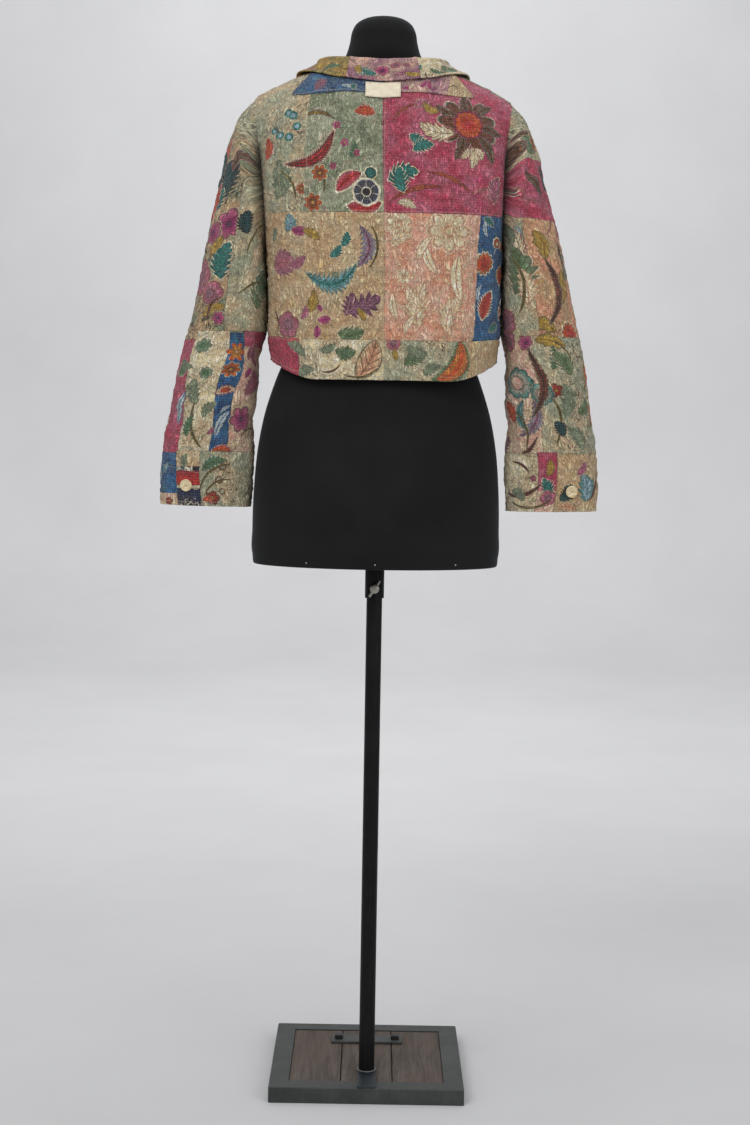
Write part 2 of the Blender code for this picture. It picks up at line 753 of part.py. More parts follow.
def sleeve_column(k):
    """Points of one column through every section, from the armhole to the cuff."""
    face, level = LOOP[k]
    first = body_half(face, 1.0, level)
    angle = LOOP_ANGLES[k]
    return [first] + [sleeve_section(row, angle) for row in SLEEVE_ROWS]


def spline(points, t):
    """Point at 0..1 on a smooth curve through points, by their distances."""
    places = [0.0]
    for a, b in zip(points, points[1:]):
        places.append(places[-1] + (b - a).length)
    rows = [(place / places[-1], *point) for place, point in zip(places, points)]
    return Vector(read(rows, t))


def fold_depth(along, around):
    """How far the sleeve's folds draw the cloth in at a place."""
    depth = 0.0
    for at, turn, reach_along, reach_around, deep in FOLD_ROWS:
        away = (along - at) / reach_along
        aside = ((around - turn + 180) % 360 - 180) / reach_around
        depth += deep * math.exp(-away * away - aside * aside)
    return depth


def sleeve_grid(side):
    """Outer points and normals of a whole sleeve, row by row."""
    columns = [sleeve_column(k) for k in range(len(LOOP))]
    points = []
    for step in range(SLEEVE_STEPS + 1):
        t = step / SLEEVE_STEPS
        points.append([spline(column, t) for column in columns])
    count = len(columns)
    normals = []
    for i, line in enumerate(points):
        normals.append([])
        for k in range(count):
            around = line[(k + 1) % count] - line[k - 1]
            along = points[min(i + 1, SLEEVE_STEPS)][k] - points[max(i - 1, 0)][k]
            normals[-1].append(around.cross(along).normalized())
    middle = sum(points[0], Vector()) / count
    for k in range(count):
        away = points[0][k] - middle
        normals[0][k] = Vector((0, away.y, away.z)).normalized()
    for i, line in enumerate(points):
        for k in range(count):
            centre = sum(line, Vector()) / count
            if normals[i][k].dot(line[k] - centre) < 0:
                normals[i][k] = -normals[i][k]
            along = i / SLEEVE_STEPS
            line[k] = line[k] - normals[i][k] * fold_depth(along, LOOP_ANGLES[k])
    for line in points + normals:
        for vector in line:
            vector.x *= side
    for line in points:
        for vector in line:
            held = 1 if side > 0 else 1 - smooth((1.25 - vector.z) / 0.25)
            vector.x += lean(vector.z) * held
    return points, normals


def nearest_column(angle):
    """Column of the sleeve nearest to an angle round it."""
    gaps = [abs((angle - a + 180) % 360 - 180) for a in LOOP_ANGLES]
    return gaps.index(min(gaps))


def sleeve_piece(name, grid, rows, angles, finish):
    """Piece of a sleeve between two rows and two angles round it, in rising order."""
    points, normals = grid
    count = len(LOOP)
    start, end = nearest_column(angles[0]), nearest_column(angles[1])
    if end <= start:
        end += count
    columns = [k % count for k in range(start, end + 1)]
    picked = [[points[i][k] for k in columns] for i in range(rows[0], rows[1] + 1)]
    outward = [[normals[i][k] for k in columns] for i in range(rows[0], rows[1] + 1)]
    return wall_object(name, picked, outward, WALL, finish)


UPPER = (0, ELBOW_STEP)
LOWER = (ELBOW_STEP, CUFF_STEP)
CUFF = (CUFF_STEP, SLEEVE_STEPS)

# Pieces of the sleeves: name, side, rows, from and to which angle round it, cloth
SLEEVE_PIECES = (
    ("sleeve_left_upper_outer", -1, UPPER, 320, 100, "tan"),
    ("sleeve_left_upper_inner", -1, UPPER, 100, 200, "sage"),
    ("sleeve_left_upper_front", -1, UPPER, 200, 320, "peach"),
    ("sleeve_left_lower_outer", -1, LOWER, 320, 50, "crimson"),
    ("sleeve_left_lower_middle", -1, LOWER, 50, 92, "cream"),
    ("sleeve_left_lower_strip", -1, LOWER, 92, 125, "blue"),
    ("sleeve_left_lower_inner", -1, LOWER, 125, 200, "peach"),
    ("sleeve_left_lower_front", -1, LOWER, 200, 320, "tan"),
    ("sleeve_left_cuff_outer", -1, CUFF, 320, 50, "blue"),
    ("sleeve_left_cuff_placket", -1, CUFF, 50, 92, "crimson"),
    ("sleeve_left_cuff_inner", -1, CUFF, 92, 200, "sage"),
    ("sleeve_left_cuff_front", -1, CUFF, 200, 320, "tan"),
    ("sleeve_right_upper_outer", 1, UPPER, 320, 110, "peach"),
    ("sleeve_right_upper_inner", 1, UPPER, 110, 200, "crimson"),
    ("sleeve_right_upper_front", 1, UPPER, 200, 320, "sage"),
    ("sleeve_right_lower_outer", 1, LOWER, 320, 92, "sage"),
    ("sleeve_right_lower_inner", 1, LOWER, 92, 200, "peach"),
    ("sleeve_right_lower_front", 1, LOWER, 200, 320, "cream"),
    ("sleeve_right_cuff_outer", 1, CUFF, 320, 80, "tan"),
    ("sleeve_right_cuff_placket", 1, CUFF, 80, 105, "crimson"),
    ("sleeve_right_cuff_inner", 1, CUFF, 105, 200, "sage"),
    ("sleeve_right_cuff_front", 1, CUFF, 200, 320, "peach"),
)


def make_sleeves():
    """Both sleeves, each a tube from its armhole to an open cuff."""
    grids = {-1: sleeve_grid(-1), 1: sleeve_grid(1)}
    for name, side, rows, start, end, finish in SLEEVE_PIECES:
        sleeve_piece(name, grids[side], rows, (start, end), finish)
    return grids


def button(name, place, normal):
    """Shallow turned button with a raised rim, set on a point of the cloth."""
    profile = ((0.0, 0.0), (BUTTON_RADIUS * 0.8, 0.0), (BUTTON_RADIUS, BUTTON_THICK * 0.4),
               (BUTTON_RADIUS, BUTTON_THICK * 0.8), (BUTTON_RADIUS - BUTTON_RIM, BUTTON_THICK),
               (BUTTON_RADIUS - 1.6 * BUTTON_RIM, BUTTON_THICK * 0.75),
               (0.0, BUTTON_THICK * 0.65))
    mesh = bmesh.new()
    verts = [mesh.verts.new((radius, 0, height)) for radius, height in profile]
    edges = [mesh.edges.new(pair) for pair in zip(verts, verts[1:])]
    bmesh.ops.spin(mesh, geom=verts + edges, cent=(0, 0, 0), axis=(0, 0, 1),
                   angle=2 * math.pi, steps=14, use_merge=True)
    bmesh.ops.remove_doubles(mesh, verts=mesh.verts, dist=1e-6)
    turn = Vector((0, 0, 1)).rotation_difference(normal).to_matrix().to_4x4()
    bmesh.ops.transform(mesh, matrix=Matrix.Translation(place) @ turn, verts=mesh.verts)
    return finish_mesh(name, mesh, "button")


def make_buttons(grids):
    """Buttons down the front and one on each cuff."""
    for number, row in enumerate(BUTTON_ROWS, 1):
        low, high = ((band_point(-BAND_FLAT, level) + band_point(BAND_FLAT, level)) / 2
                     for level in BODY_LEVELS[row:row + 2])
        across = band_point(BAND_FLAT, BODY_LEVELS[row]) - low
        normal = (high - low).cross(across).normalized()
        button(f"front_button_{number}", (low + high) / 2 + normal * BUTTON_LIFT, normal)
    row = round(CUFF_BUTTON_ALONG * SLEEVE_STEPS)
    column = nearest_column(CUFF_BUTTON_AROUND)
    for side, word in ((-1, "left"), (1, "right")):
        points, normals = grids[side]
        normal = normals[row][column]
        button(f"cuff_button_{word}", points[row][column] + normal * BUTTON_LIFT, normal)


def turned(name, profile, finish, sides=24):
    """Solid of revolution about Z from (radius, z) pairs that run from top to bottom."""
    mesh = bmesh.new()
    rings = [[mesh.verts.new((radius * math.cos(2 * math.pi * k / sides),
                              radius * math.sin(2 * math.pi * k / sides), z))
              for k in range(sides)] for radius, z in profile]
    for a, b in zip(rings, rings[1:] + rings[:1]):
        for k in range(sides):
            mesh.faces.new((a[k], a[(k + 1) % sides], b[(k + 1) % sides], b[k]))
    return finish_mesh(name, mesh, finish)


def make_form():
    """Smooth dress form from hip to neck, with a bore for its sleeve tube."""
    mesh = bmesh.new()
    sections = []
    for z, half_width, back, front in FORM_ROWS:
        ring = []
        for k in range(FORM_SIDES):
            turn = 2 * math.pi * k / FORM_SIDES
            depth = back if math.cos(turn) > 0 else front
            ring.append(mesh.verts.new((half_width * math.sin(turn),
                                        -depth * math.cos(turn), z)))
        sections.append(ring)
    for a, b in zip(sections, sections[1:]):
        for k in range(FORM_SIDES):
            j = (k + 1) % FORM_SIDES
            mesh.faces.new((a[k], a[j], b[j], b[k]))
    mesh.faces.new(sections[-1])
    bore = []
    for z in (FORM_ROWS[0][0], FORM_BORE_TOP):
        bore.append([mesh.verts.new((FORM_BORE * math.sin(2 * math.pi * k / FORM_SIDES),
                                     -FORM_BORE * math.cos(2 * math.pi * k / FORM_SIDES), z))
                     for k in range(FORM_SIDES)])
    for a, b in ((sections[0], bore[0]), (bore[0], bore[1])):
        for k in range(FORM_SIDES):
            j = (k + 1) % FORM_SIDES
            mesh.faces.new((a[k], a[j], b[j], b[k]))
    mesh.faces.new(bore[1])
    return finish_mesh("dress_form", mesh, "jersey")


def set_aside(thing):
    """Keep a cutter out of the part's collection and out of renders."""
    PART.objects.unlink(thing)
    CUTTERS.objects.link(thing)
    thing.hide_render = True
    thing.display_type = "WIRE"


def cylinder(name, radius, length, place, axis, finish, sides=24):
    """Cylinder centred on a place, along an axis."""
    mesh = bmesh.new()
    bmesh.ops.create_cone(mesh, cap_ends=True, segments=sides, radius1=radius, radius2=radius,
                          depth=length)
    thing = finish_mesh(name, mesh, finish)
    thing.location = place
    thing.rotation_euler = Vector((0, 0, 1)).rotation_difference(Vector(axis)).to_euler()
    return thing


def combine(target, tool, operation):
    """Exact Boolean of a target and a cutter, which is set aside."""
    set_aside(tool)
    modifier = target.modifiers.new(operation.lower(), "BOOLEAN")
    modifier.operation = operation
    modifier.object = tool
    modifier.solver = "EXACT"


def box(name, low, high, finish, bevel=0.0):
    """Box between two corners, with its edges taken off."""
    size = Vector(high) - Vector(low)
    mesh = bmesh.new()
    bmesh.ops.create_cube(mesh, size=1.0)
    bmesh.ops.scale(mesh, vec=size, verts=mesh.verts)
    bmesh.ops.translate(mesh, vec=(Vector(high) + Vector(low)) / 2, verts=mesh.verts)
    thing = finish_mesh(name, mesh, finish)
    if bevel:
        modifier = thing.modifiers.new("edges", "BEVEL")
        modifier.width = bevel
        modifier.segments = 1
    return thing


def make_pole_parts():
    """Pole, the sleeve tube that slides on it, and the screw that clamps the tube."""
    pole_bottom = FOOT_HEIGHT + BAR_THICK + LAY_GAP
    cylinder("pole", POLE_RADIUS, POLE_TOP - pole_bottom,
             (0, 0, (POLE_TOP + pole_bottom) / 2), (0, 0, 1), "dark_steel")
    tube = turned("sleeve_tube", ((TUBE_BORE, TUBE_TOP), (TUBE_RADIUS, TUBE_TOP),
                                  (TUBE_RADIUS, TUBE_BOTTOM), (TUBE_BORE, TUBE_BOTTOM)),
                  "dark_steel")
    hole = cylinder("screw_hole", SCREW_HOLE, 0.02, (0, -TUBE_RADIUS, SCREW_Z), (0, 1, 0),
                    "dark_steel")
    combine(tube, hole, "DIFFERENCE")
    head_near = -TUBE_RADIUS - SCREW_HEAD_GAP
    tip = -POLE_RADIUS - LAY_GAP
    shaft_length = tip - head_near + 0.002
    screw = cylinder("clamp_screw", SCREW_HEAD, SCREW_HEAD_LENGTH,
                     (0, head_near - SCREW_HEAD_LENGTH / 2, SCREW_Z), (0, 1, 0),
                     "bright_steel", sides=20)
    shaft = cylinder("screw_shaft", SCREW_SHAFT, shaft_length,
                     (0, tip - shaft_length / 2, SCREW_Z), (0, 1, 0), "bright_steel")
    bar_axis = (math.cos(SCREW_BAR_TILT), 0, math.sin(SCREW_BAR_TILT))
    bar = cylinder("screw_bar", SCREW_BAR, SCREW_BAR_LENGTH,
                   (0, head_near - SCREW_HEAD_LENGTH / 2, SCREW_Z), bar_axis, "bright_steel",
                   sides=10)
    combine(screw, shaft, "UNION")
    combine(screw, bar, "UNION")


def make_foot():
    """Square steel frame with planks, the bar under the pole, and a strap with two bolts."""
    near, far = -FOOT_NEAR, FOOT_SIDE - FOOT_NEAR
    half = FOOT_SIDE / 2
    frame = box("foot_frame", (-half, near, 0), (half, far, FOOT_HEIGHT), "dark_steel",
                FOOT_EDGE)
    opening = box("foot_opening", (-half + FOOT_RAIL, near + FOOT_RAIL, -0.01),
                  (half - FOOT_RAIL, far - FOOT_RAIL, FOOT_HEIGHT + 0.01), "dark_steel")
    combine(frame, opening, "DIFFERENCE")
    inner_left = -half + FOOT_RAIL + LAY_GAP
    inner_width = FOOT_SIDE - 2 * FOOT_RAIL - 2 * LAY_GAP
    width = (inner_width - (PLANK_COUNT - 1) * PLANK_GAP) / PLANK_COUNT
    for k in range(PLANK_COUNT):
        left = inner_left + k * (width + PLANK_GAP)
        box(f"plank_{k + 1}", (left, near + FOOT_RAIL + LAY_GAP, 0),
            (left + width, far - FOOT_RAIL - LAY_GAP, PLANK_TOP), "plank", 0.001)
    bar_low = FOOT_HEIGHT + LAY_GAP / 2
    box("pole_bar", (-BAR_WIDTH / 2, near, bar_low), (BAR_WIDTH / 2, BAR_FAR,
        bar_low + BAR_THICK), "dark_steel", 0.0006)
    strap_y = near + STRAP_SHARE * FOOT_SIDE
    length, depth, thick = STRAP_SIZE
    strap_low = PLANK_TOP + LAY_GAP
    box("strap", (-length / 2, strap_y - depth / 2, strap_low),
        (length / 2, strap_y + depth / 2, strap_low + thick), "dark_steel", 0.0006)
    bolt_low = strap_low + thick + LAY_GAP
    for side, word in ((-1, "left"), (1, "right")):
        x = side * (length / 2 - BOLT_INSET)
        box(f"bolt_{word}", (x - BOLT_SIDE / 2, strap_y - BOLT_SIDE / 2, bolt_low),
            (x + BOLT_SIDE / 2, strap_y + BOLT_SIDE / 2, bolt_low + BOLT_HEIGHT),
            "dark_steel", 0.001)


for old in list(bpy.data.objects):
    bpy.data.objects.remove(old, do_unlink=True)
PART = bpy.data.collections.new("jacket_on_dress_form")
CUTTERS = bpy.data.collections.new("cutters")
bpy.context.scene.collection.children.link(PART)
bpy.context.scene.collection.children.link(CUTTERS)

make_foot()
make_pole_parts()
make_form()
make_body()
make_front()
make_neck_strip()
make_label()
make_collar()
make_buttons(make_sleeves())
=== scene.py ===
# %% [markdown]
# # A patchwork jacket on a dress form
# The jacket is sewn from printed cotton patches, washed until the whole cloth is finely crinkled.
# It hangs with its back to the camera on a limbless form, over a pole with a square foot.

import json
import math

import bmesh
import bpy
import numpy as np
from mathutils import Euler, Matrix, Vector, noise
from mathutils.kdtree import KDTree

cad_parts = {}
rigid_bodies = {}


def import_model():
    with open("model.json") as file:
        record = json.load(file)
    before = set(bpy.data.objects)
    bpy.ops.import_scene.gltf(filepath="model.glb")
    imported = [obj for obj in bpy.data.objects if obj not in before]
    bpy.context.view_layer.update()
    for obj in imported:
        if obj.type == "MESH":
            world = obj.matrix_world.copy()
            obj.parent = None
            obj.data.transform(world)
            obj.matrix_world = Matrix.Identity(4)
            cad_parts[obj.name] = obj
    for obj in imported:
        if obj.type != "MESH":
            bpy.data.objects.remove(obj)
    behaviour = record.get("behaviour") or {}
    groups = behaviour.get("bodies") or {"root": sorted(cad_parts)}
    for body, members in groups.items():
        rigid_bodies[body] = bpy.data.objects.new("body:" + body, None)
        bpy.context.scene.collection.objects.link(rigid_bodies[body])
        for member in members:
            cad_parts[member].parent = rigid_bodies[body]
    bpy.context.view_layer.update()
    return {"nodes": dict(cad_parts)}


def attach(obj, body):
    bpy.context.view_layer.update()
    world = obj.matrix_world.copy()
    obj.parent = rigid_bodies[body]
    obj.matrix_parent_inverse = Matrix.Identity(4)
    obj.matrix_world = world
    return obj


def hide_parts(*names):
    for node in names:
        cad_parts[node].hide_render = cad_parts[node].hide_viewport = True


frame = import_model()

# %% [markdown]
# ## Camera
# The foot shows its top and the hem shows none of its underside, yet the upright lines stay
# upright, so the camera was level, above hip height, and the picture was cropped below it. A
# small shift of the lens does that. Tilting the camera instead would make the pole taper.

# %% Camera
def placed(name, data):
    """Object of some data, linked to the scene."""
    thing = bpy.data.objects.new(name, data)
    bpy.context.scene.collection.objects.link(thing)
    return thing


LENS = 58.08                    # mm, for a 36 mm long side
CAMERA_PLACE = (-0.0035, -2.844, 1.0356)
CAMERA_SHIFT = -0.1182          # share of the long side
CAMERA_ROLL = math.radians(0.97)

camera = placed("camera", bpy.data.cameras.new("camera"))
camera.data.lens = LENS
camera.data.sensor_width = 36.0
camera.data.shift_y = CAMERA_SHIFT
camera.data.clip_end = 50.0
aim = Euler((math.pi / 2, 0, 0)).to_matrix() @ Euler((0, 0, CAMERA_ROLL)).to_matrix()
camera.location = CAMERA_PLACE
camera.rotation_euler = aim.to_euler()
bpy.context.scene.camera = camera
bpy.context.scene.view_settings.view_transform = "Standard"
print("camera", CAMERA_PLACE, "shift", CAMERA_SHIFT)

# %% [markdown]
# ## Helpers for node materials
# A finish is a small network of nodes. Writing each link by hand is long, so short helpers
# add a node, do one sum and lay one colour over another. Inks are given as they look on a
# screen and turned into the linear values that the shader wants.

# %% Node helpers
def add(tree, kind, inputs=None, **settings):
    """Add a node, with its settings and with values or links on its inputs."""
    node = tree.nodes.new(kind)
    for key, value in settings.items():
        setattr(node, key, value)
    for key, value in (inputs or {}).items():
        if isinstance(value, bpy.types.NodeSocket):
            tree.links.new(value, node.inputs[key])
        else:
            node.inputs[key].default_value = value
    return node


def sums(tree, operation, *values, clamp=False):
    """One sum on numbers or sockets."""
    return add(tree, "ShaderNodeMath", dict(enumerate(values)), operation=operation,
               use_clamp=clamp).outputs[0]


def times(tree, first, second):
    """Product of two numbers or sockets."""
    return sums(tree, "MULTIPLY", first, second)


def lay(tree, amount, under, over, mode="MIX"):
    """Lay a colour over another by an amount."""
    return add(tree, "ShaderNodeMix", {0: amount, 6: under, 7: over}, data_type="RGBA",
               blend_type=mode).outputs[2]


def edge(tree, value, start, end):
    """Ease from 0 to 1 while a value goes from start to end."""
    return add(tree, "ShaderNodeMapRange", {"Value": value, "From Min": start, "From Max": end},
               interpolation_type="SMOOTHSTEP").outputs[0]


def mottle(tree, vector, scale, detail=3.0, rough=0.55, twist=0.0):
    """Value of a noise at a place."""
    return add(tree, "ShaderNodeTexNoise", {"Vector": vector, "Scale": scale, "Detail": detail,
                                            "Roughness": rough, "Distortion": twist}).outputs[0]


def stretch(tree, vector, x, y, z=1.0):
    """Scale a place differently along each axis."""
    return add(tree, "ShaderNodeMapping", {"Vector": vector, "Scale": (x, y, z)}).outputs[0]


def linear(red, green, blue):
    """Colour for a shader from the three values that a screen shows, 0 to 255."""
    return tuple(((c / 255 + 0.055) / 1.055) ** 2.4 if c > 10 else c / 255 / 12.92
                 for c in (red, green, blue)) + (1.0,)


INKS = {name: linear(*values) for name, values in {
    "sage": (168, 172, 146), "sage_dark": (112, 120, 98), "crimson": (180, 62, 88),
    "crimson_dark": (128, 36, 56), "tan": (196, 166, 126), "ochre": (184, 146, 62),
    "peach": (214, 158, 126), "peach_dark": (190, 126, 96), "cream": (226, 216, 188),
    "white": (232, 226, 208), "blue": (52, 104, 150), "blue_dark": (34, 66, 108),
    "sky": (150, 178, 192), "olive": (156, 138, 74), "olive_dark": (88, 78, 44),
    "pink": (220, 184, 164), "rose": (186, 104, 124), "magenta": (152, 42, 106),
    "mauve": (150, 104, 122), "plum": (88, 48, 72), "orange": (198, 98, 46),
    "red": (186, 52, 44), "brown": (110, 66, 44), "ink": (46, 40, 38),
    "teal": (58, 132, 122), "teal_dark": (34, 84, 84), "green": (92, 124, 84),
    "grey_green": (134, 146, 118), "navy": (40, 52, 84), "beige": (204, 186, 150),
}.items()}
print("inks:", len(INKS))


def new_finish(name, roughness, metallic=0.0, sheen=0.0, specular=0.5):
    """Empty finish with its constant values on the shader itself."""
    made = bpy.data.materials.new(name)
    made.use_nodes = True
    shader = made.node_tree.nodes["Principled BSDF"]
    shader.inputs["Roughness"].default_value = roughness
    shader.inputs["Metallic"].default_value = metallic
    shader.inputs["Sheen Weight"].default_value = sheen
    shader.inputs["Specular IOR Level"].default_value = specular
    return made, made.node_tree, shader


def raise_from(tree, shader, height, distance, strength=1.0):
    """Bump from a height that runs from 0 to 1."""
    bump = add(tree, "ShaderNodeBump", {"Height": height, "Distance": distance,
                                        "Strength": strength})
    tree.links.new(bump.outputs[0], shader.inputs["Normal"])

# %% [markdown]
# ## Backdrop and light
# The photograph shows a pale grey sheet that rolls from the floor up the wall, lit softly from
# all round. One curved sheet does both jobs, wide and far enough back that the object can be
# seen from every side. It is stage, not part of the object.

# %% Backdrop
BACKDROP_PROFILE = ((-7.0, 0.0), (4.4, 0.0), (5.2, 0.08), (5.8, 0.34), (6.2, 0.8), (6.4, 1.5),
                    (6.4, 7.0))
BACKDROP_HALF = 9           # half of its width
backdrop_mesh = bmesh.new()
start = backdrop_mesh.verts.new((-BACKDROP_HALF, *BACKDROP_PROFILE[0]))
line = [start]
for y, z in BACKDROP_PROFILE[1:]:
    grown = bmesh.ops.extrude_vert_indiv(backdrop_mesh, verts=[line[-1]])
    line.append(grown["verts"][0])
    line[-1].co = (-BACKDROP_HALF, y, z)
wide = bmesh.ops.extrude_edge_only(backdrop_mesh, edges=list(backdrop_mesh.edges))
bmesh.ops.translate(backdrop_mesh, vec=(2 * BACKDROP_HALF, 0, 0),
                    verts=[v for v in wide["geom"] if isinstance(v, bmesh.types.BMVert)])
bmesh.ops.recalc_face_normals(backdrop_mesh, faces=backdrop_mesh.faces)
backdrop_data = bpy.data.meshes.new("backdrop")
backdrop_mesh.to_mesh(backdrop_data)
backdrop_mesh.free()
backdrop_data.shade_smooth()
backdrop = placed("backdrop", backdrop_data)
backdrop_bend = backdrop.modifiers.new("bend", "SUBSURF")
backdrop_bend.levels = backdrop_bend.render_levels = 3

paper, tree, shader = new_finish("backdrop", 0.9)
place = add(tree, "ShaderNodeTexCoord").outputs["Object"]
clouds = mottle(tree, place, 1.6, 5.0, 0.6)
tree.links.new(lay(tree, clouds, linear(194, 194, 195), linear(209, 209, 210)),
               shader.inputs["Base Color"])
backdrop_data.materials.append(paper)

# %% Light
LAMPS = (
    # name, place, aimed at, side in metres, watts
    ("key", (-2.0, -3.2, 3.4), (0, 0, 1.2), 2.2, 90),
    ("fill", (2.6, -2.8, 2.2), (0, 0, 1.1), 2.4, 46),
    ("top", (0.0, 0.2, 4.2), (0, 0.4, 1.0), 2.6, 36),
    ("wall", (0.0, 2.6, 4.2), (0, 6.4, 1.4), 3.4, 138),
)
for name, place, target, side, watts in LAMPS:
    lamp = bpy.data.lights.new(name, "AREA")
    lamp.shape, lamp.size, lamp.energy = "SQUARE", side, watts
    holder = placed(name, lamp)
    holder.location = place
    holder.rotation_euler = (Vector(target) - Vector(place)).to_track_quat("-Z", "Y").to_euler()
world = bpy.data.worlds.new("studio")
world.use_nodes = True
world.node_tree.nodes["Background"].inputs["Color"].default_value = (0.965, 0.97, 1.0, 1.0)
world.node_tree.nodes["Background"].inputs["Strength"].default_value = 0.42
bpy.context.scene.world = world
print("lamps:", len(LAMPS))

# %% [markdown]
# ## The jacket's shape
# A jacket's body is a tube that closes over the shoulders. Its pattern could be draped by
# simulation, but the folds of a washed, stiff cotton jacket are few and its shape is known, so
# it is worked out from sections: the same named sizes that the solids were made from.

# %% Sizes of the cloth
WALL = 0.0020               # quilted cloth
TRIM_WALL = 0.0010          # strip and label
SEAM_GAP = 0.0004
LAY_GAP = 0.0004
HEM_Z = 1.110
BAND_Z = 1.170
UNDERARM_Z = 1.310
YOKE_Z = 1.362
CHEST_Z = 1.420
LOWER_SHIFT, LEAN_TOP, LEAN_RUN = 0.008, 1.55, 0.35
HEM_RISE, RISE_START, RISE_SPREAD, RISE_HEIGHT = 0.032, 45, 40, 0.09
START_HANDLE, END_HANDLE, SHOULDER_CROWN = 0.40, 0.38, 0.004
STRIP_LIFT = 0.0008
LABEL_WIDTH, LABEL_TOP, LABEL_BOTTOM = 0.053, 1.560, 1.536
NECK_SHARE, KNEE_SHARE = 0.30, 0.62
KNEE_ANGLE, ARM_ANGLE = math.radians(55.8), math.radians(70.5)
SEAM_Y = -0.022
SHOULDER_TIP = (0.200, SEAM_Y, 1.546)
NECK_HALF_WIDTH, NECK_CENTRE_Y, NECK_BACK, NECK_FRONT = 0.095, 0.012, 0.086, 0.096
FRONT_NECK_SPREAD = 1.9
BAND_SHARE = 0.085
FRONT_NECK_SHARES = (0.127, 0.159, 0.187, 0.211, 0.233, 0.253, 0.270)
BACK, FRONT = -1, 1

# %% Sections
# Horizontal sections of the body, hem to chest
BODY_ROWS = (
    # z, half_width, back, front, corner
    (1.110, 0.176, 0.112, 0.118, 2.6),
    (1.170, 0.181, 0.116, 0.124, 2.7),
    (1.240, 0.181, 0.117, 0.131, 2.9),
    (1.310, 0.184, 0.117, 0.137, 3.1),
    (1.362, 0.190, 0.116, 0.138, 3.5),
    (1.420, 0.196, 0.112, 0.132, 4.0),
)
# Height of the neckline by angle from the centre back
NECKLINE_ROWS = (
    # angle, z
    (0, 1.578),
    (30, 1.583),
    (60, 1.595),
    (90, 1.603),
    (120, 1.592),
    (150, 1.562),
    (180, 1.530),
)
# Directions in which the columns reach their top edge, in front and behind
FRONT_END_ROWS = (
    # share, x, y, z
    (0.000, 0.00, -0.30, 0.95),
    (0.085, 0.00, -0.30, 0.95),
    (0.127, 0.00, -0.42, 0.85),
    (0.187, -0.03, -0.70, 0.55),
    (0.233, -0.10, -0.90, 0.25),
    (0.270, -0.18, -0.93, 0.00),
    (0.300, -0.42, -0.93, -0.22),
    (0.410, -0.22, -0.93, -0.33),
    (0.520, -0.05, -0.93, -0.36),
    (0.620, 0.00, -0.93, -0.36),
    (1.000, 0.00, -0.93, -0.36),
)
BACK_END_ROWS = (
    # share, x, y, z
    (0.000, 0.00, 0.70, 0.71),
    (0.070, 0.00, 0.70, 0.70),
    (0.190, 0.00, 0.85, 0.52),
    (0.300, 0.00, 0.93, 0.36),
    (1.000, 0.00, 0.93, 0.36),
)
# The strip below the neckline: levels of its edges by the share of a half
STRIP_ROWS = (
    # share, low, high
    (0.00, 1.785, 1.985),
    (0.15, 1.720, 1.985),
    (0.30, 1.610, 1.985),
    (0.41, 1.600, 1.985),
    (0.52, 1.610, 1.780),
    (0.60, 1.640, 1.670),
)
# The collar by the same angle
COLLAR_ROWS = (
    # angle, stand, fall_out, fall_up
    (0, 0.026, 0.016, -0.005),
    (40, 0.024, 0.022, -0.004),
    (65, 0.018, 0.030, -0.008),
    (90, 0.014, 0.037, -0.012),
    (115, 0.014, 0.044, -0.022),
    (140, 0.012, 0.046, -0.040),
    (160, 0.010, 0.040, -0.052),
    (174, 0.008, 0.032, -0.058),
)
# Sections of a sleeve, armhole to cuff
SLEEVE_ROWS = (
    # outer_x, outer_z, inner_x, inner_z, back, front
    (0.221, 1.522, 0.1895, 1.296, 0.083, 0.076),
    (0.236, 1.488, 0.1905, 1.285, 0.087, 0.080),
    (0.249, 1.446, 0.1910, 1.268, 0.086, 0.080),
    (0.262, 1.390, 0.1915, 1.246, 0.083, 0.078),
    (0.274, 1.335, 0.1915, 1.222, 0.079, 0.075),
    (0.285, 1.284, 0.1915, 1.190, 0.075, 0.072),
    (0.304, 1.190, 0.1910, 1.140, 0.069, 0.067),
    (0.320, 1.113, 0.1910, 1.085, 0.063, 0.062),
    (0.331, 1.034, 0.1915, 1.022, 0.056, 0.056),
    (0.338, 0.965, 0.1930, 0.962, 0.048, 0.048),
    (0.337, 0.914, 0.1960, 0.912, 0.042, 0.042),
)
# Largest folds of the sleeves
FOLD_ROWS = (
    # along, around, reach_along, reach_around, depth
    (0.20, 100, 0.06, 50, 0.005),
    (0.36, 150, 0.06, 45, 0.006),
    (0.52, 60, 0.05, 40, 0.005),
    (0.68, 165, 0.05, 55, 0.006),
    (0.76, 25, 0.05, 40, 0.004),
    (0.55, 250, 0.06, 50, 0.005),
    (0.72, 300, 0.05, 40, 0.004),
)
print("sections of the body:", len(BODY_ROWS), "and of a sleeve:", len(SLEEVE_ROWS))

# %% Reading a table on a smooth curve
def smooth(value):
    """Ease from 0 to 1."""
    value = np.clip(value, 0.0, 1.0)
    return value * value * (3 - 2 * value)


def curve(places, values, at):
    """Values at many places on a smooth curve through the rows of a table."""
    slopes = np.gradient(values, places, axis=0)
    index = np.clip(np.searchsorted(places, at, side="right") - 1, 0, len(places) - 2)
    shape = (-1,) + (1,) * (values.ndim - 1)
    span = (places[index + 1] - places[index]).reshape(shape)
    t = (at - places[index]).reshape(shape) / span
    return ((2 * t**3 - 3 * t**2 + 1) * values[index]
            + (t**3 - 2 * t**2 + t) * span * slopes[index]
            + (3 * t**2 - 2 * t**3) * values[index + 1]
            + (t**3 - t**2) * span * slopes[index + 1])


def read(rows, at):
    """Values of a table at one place in its first column."""
    table = np.array(rows, dtype=float)
    at = np.clip([at], table[0, 0], table[-1, 0])
    return curve(table[:, 0], table[:, 1:], at)[0]


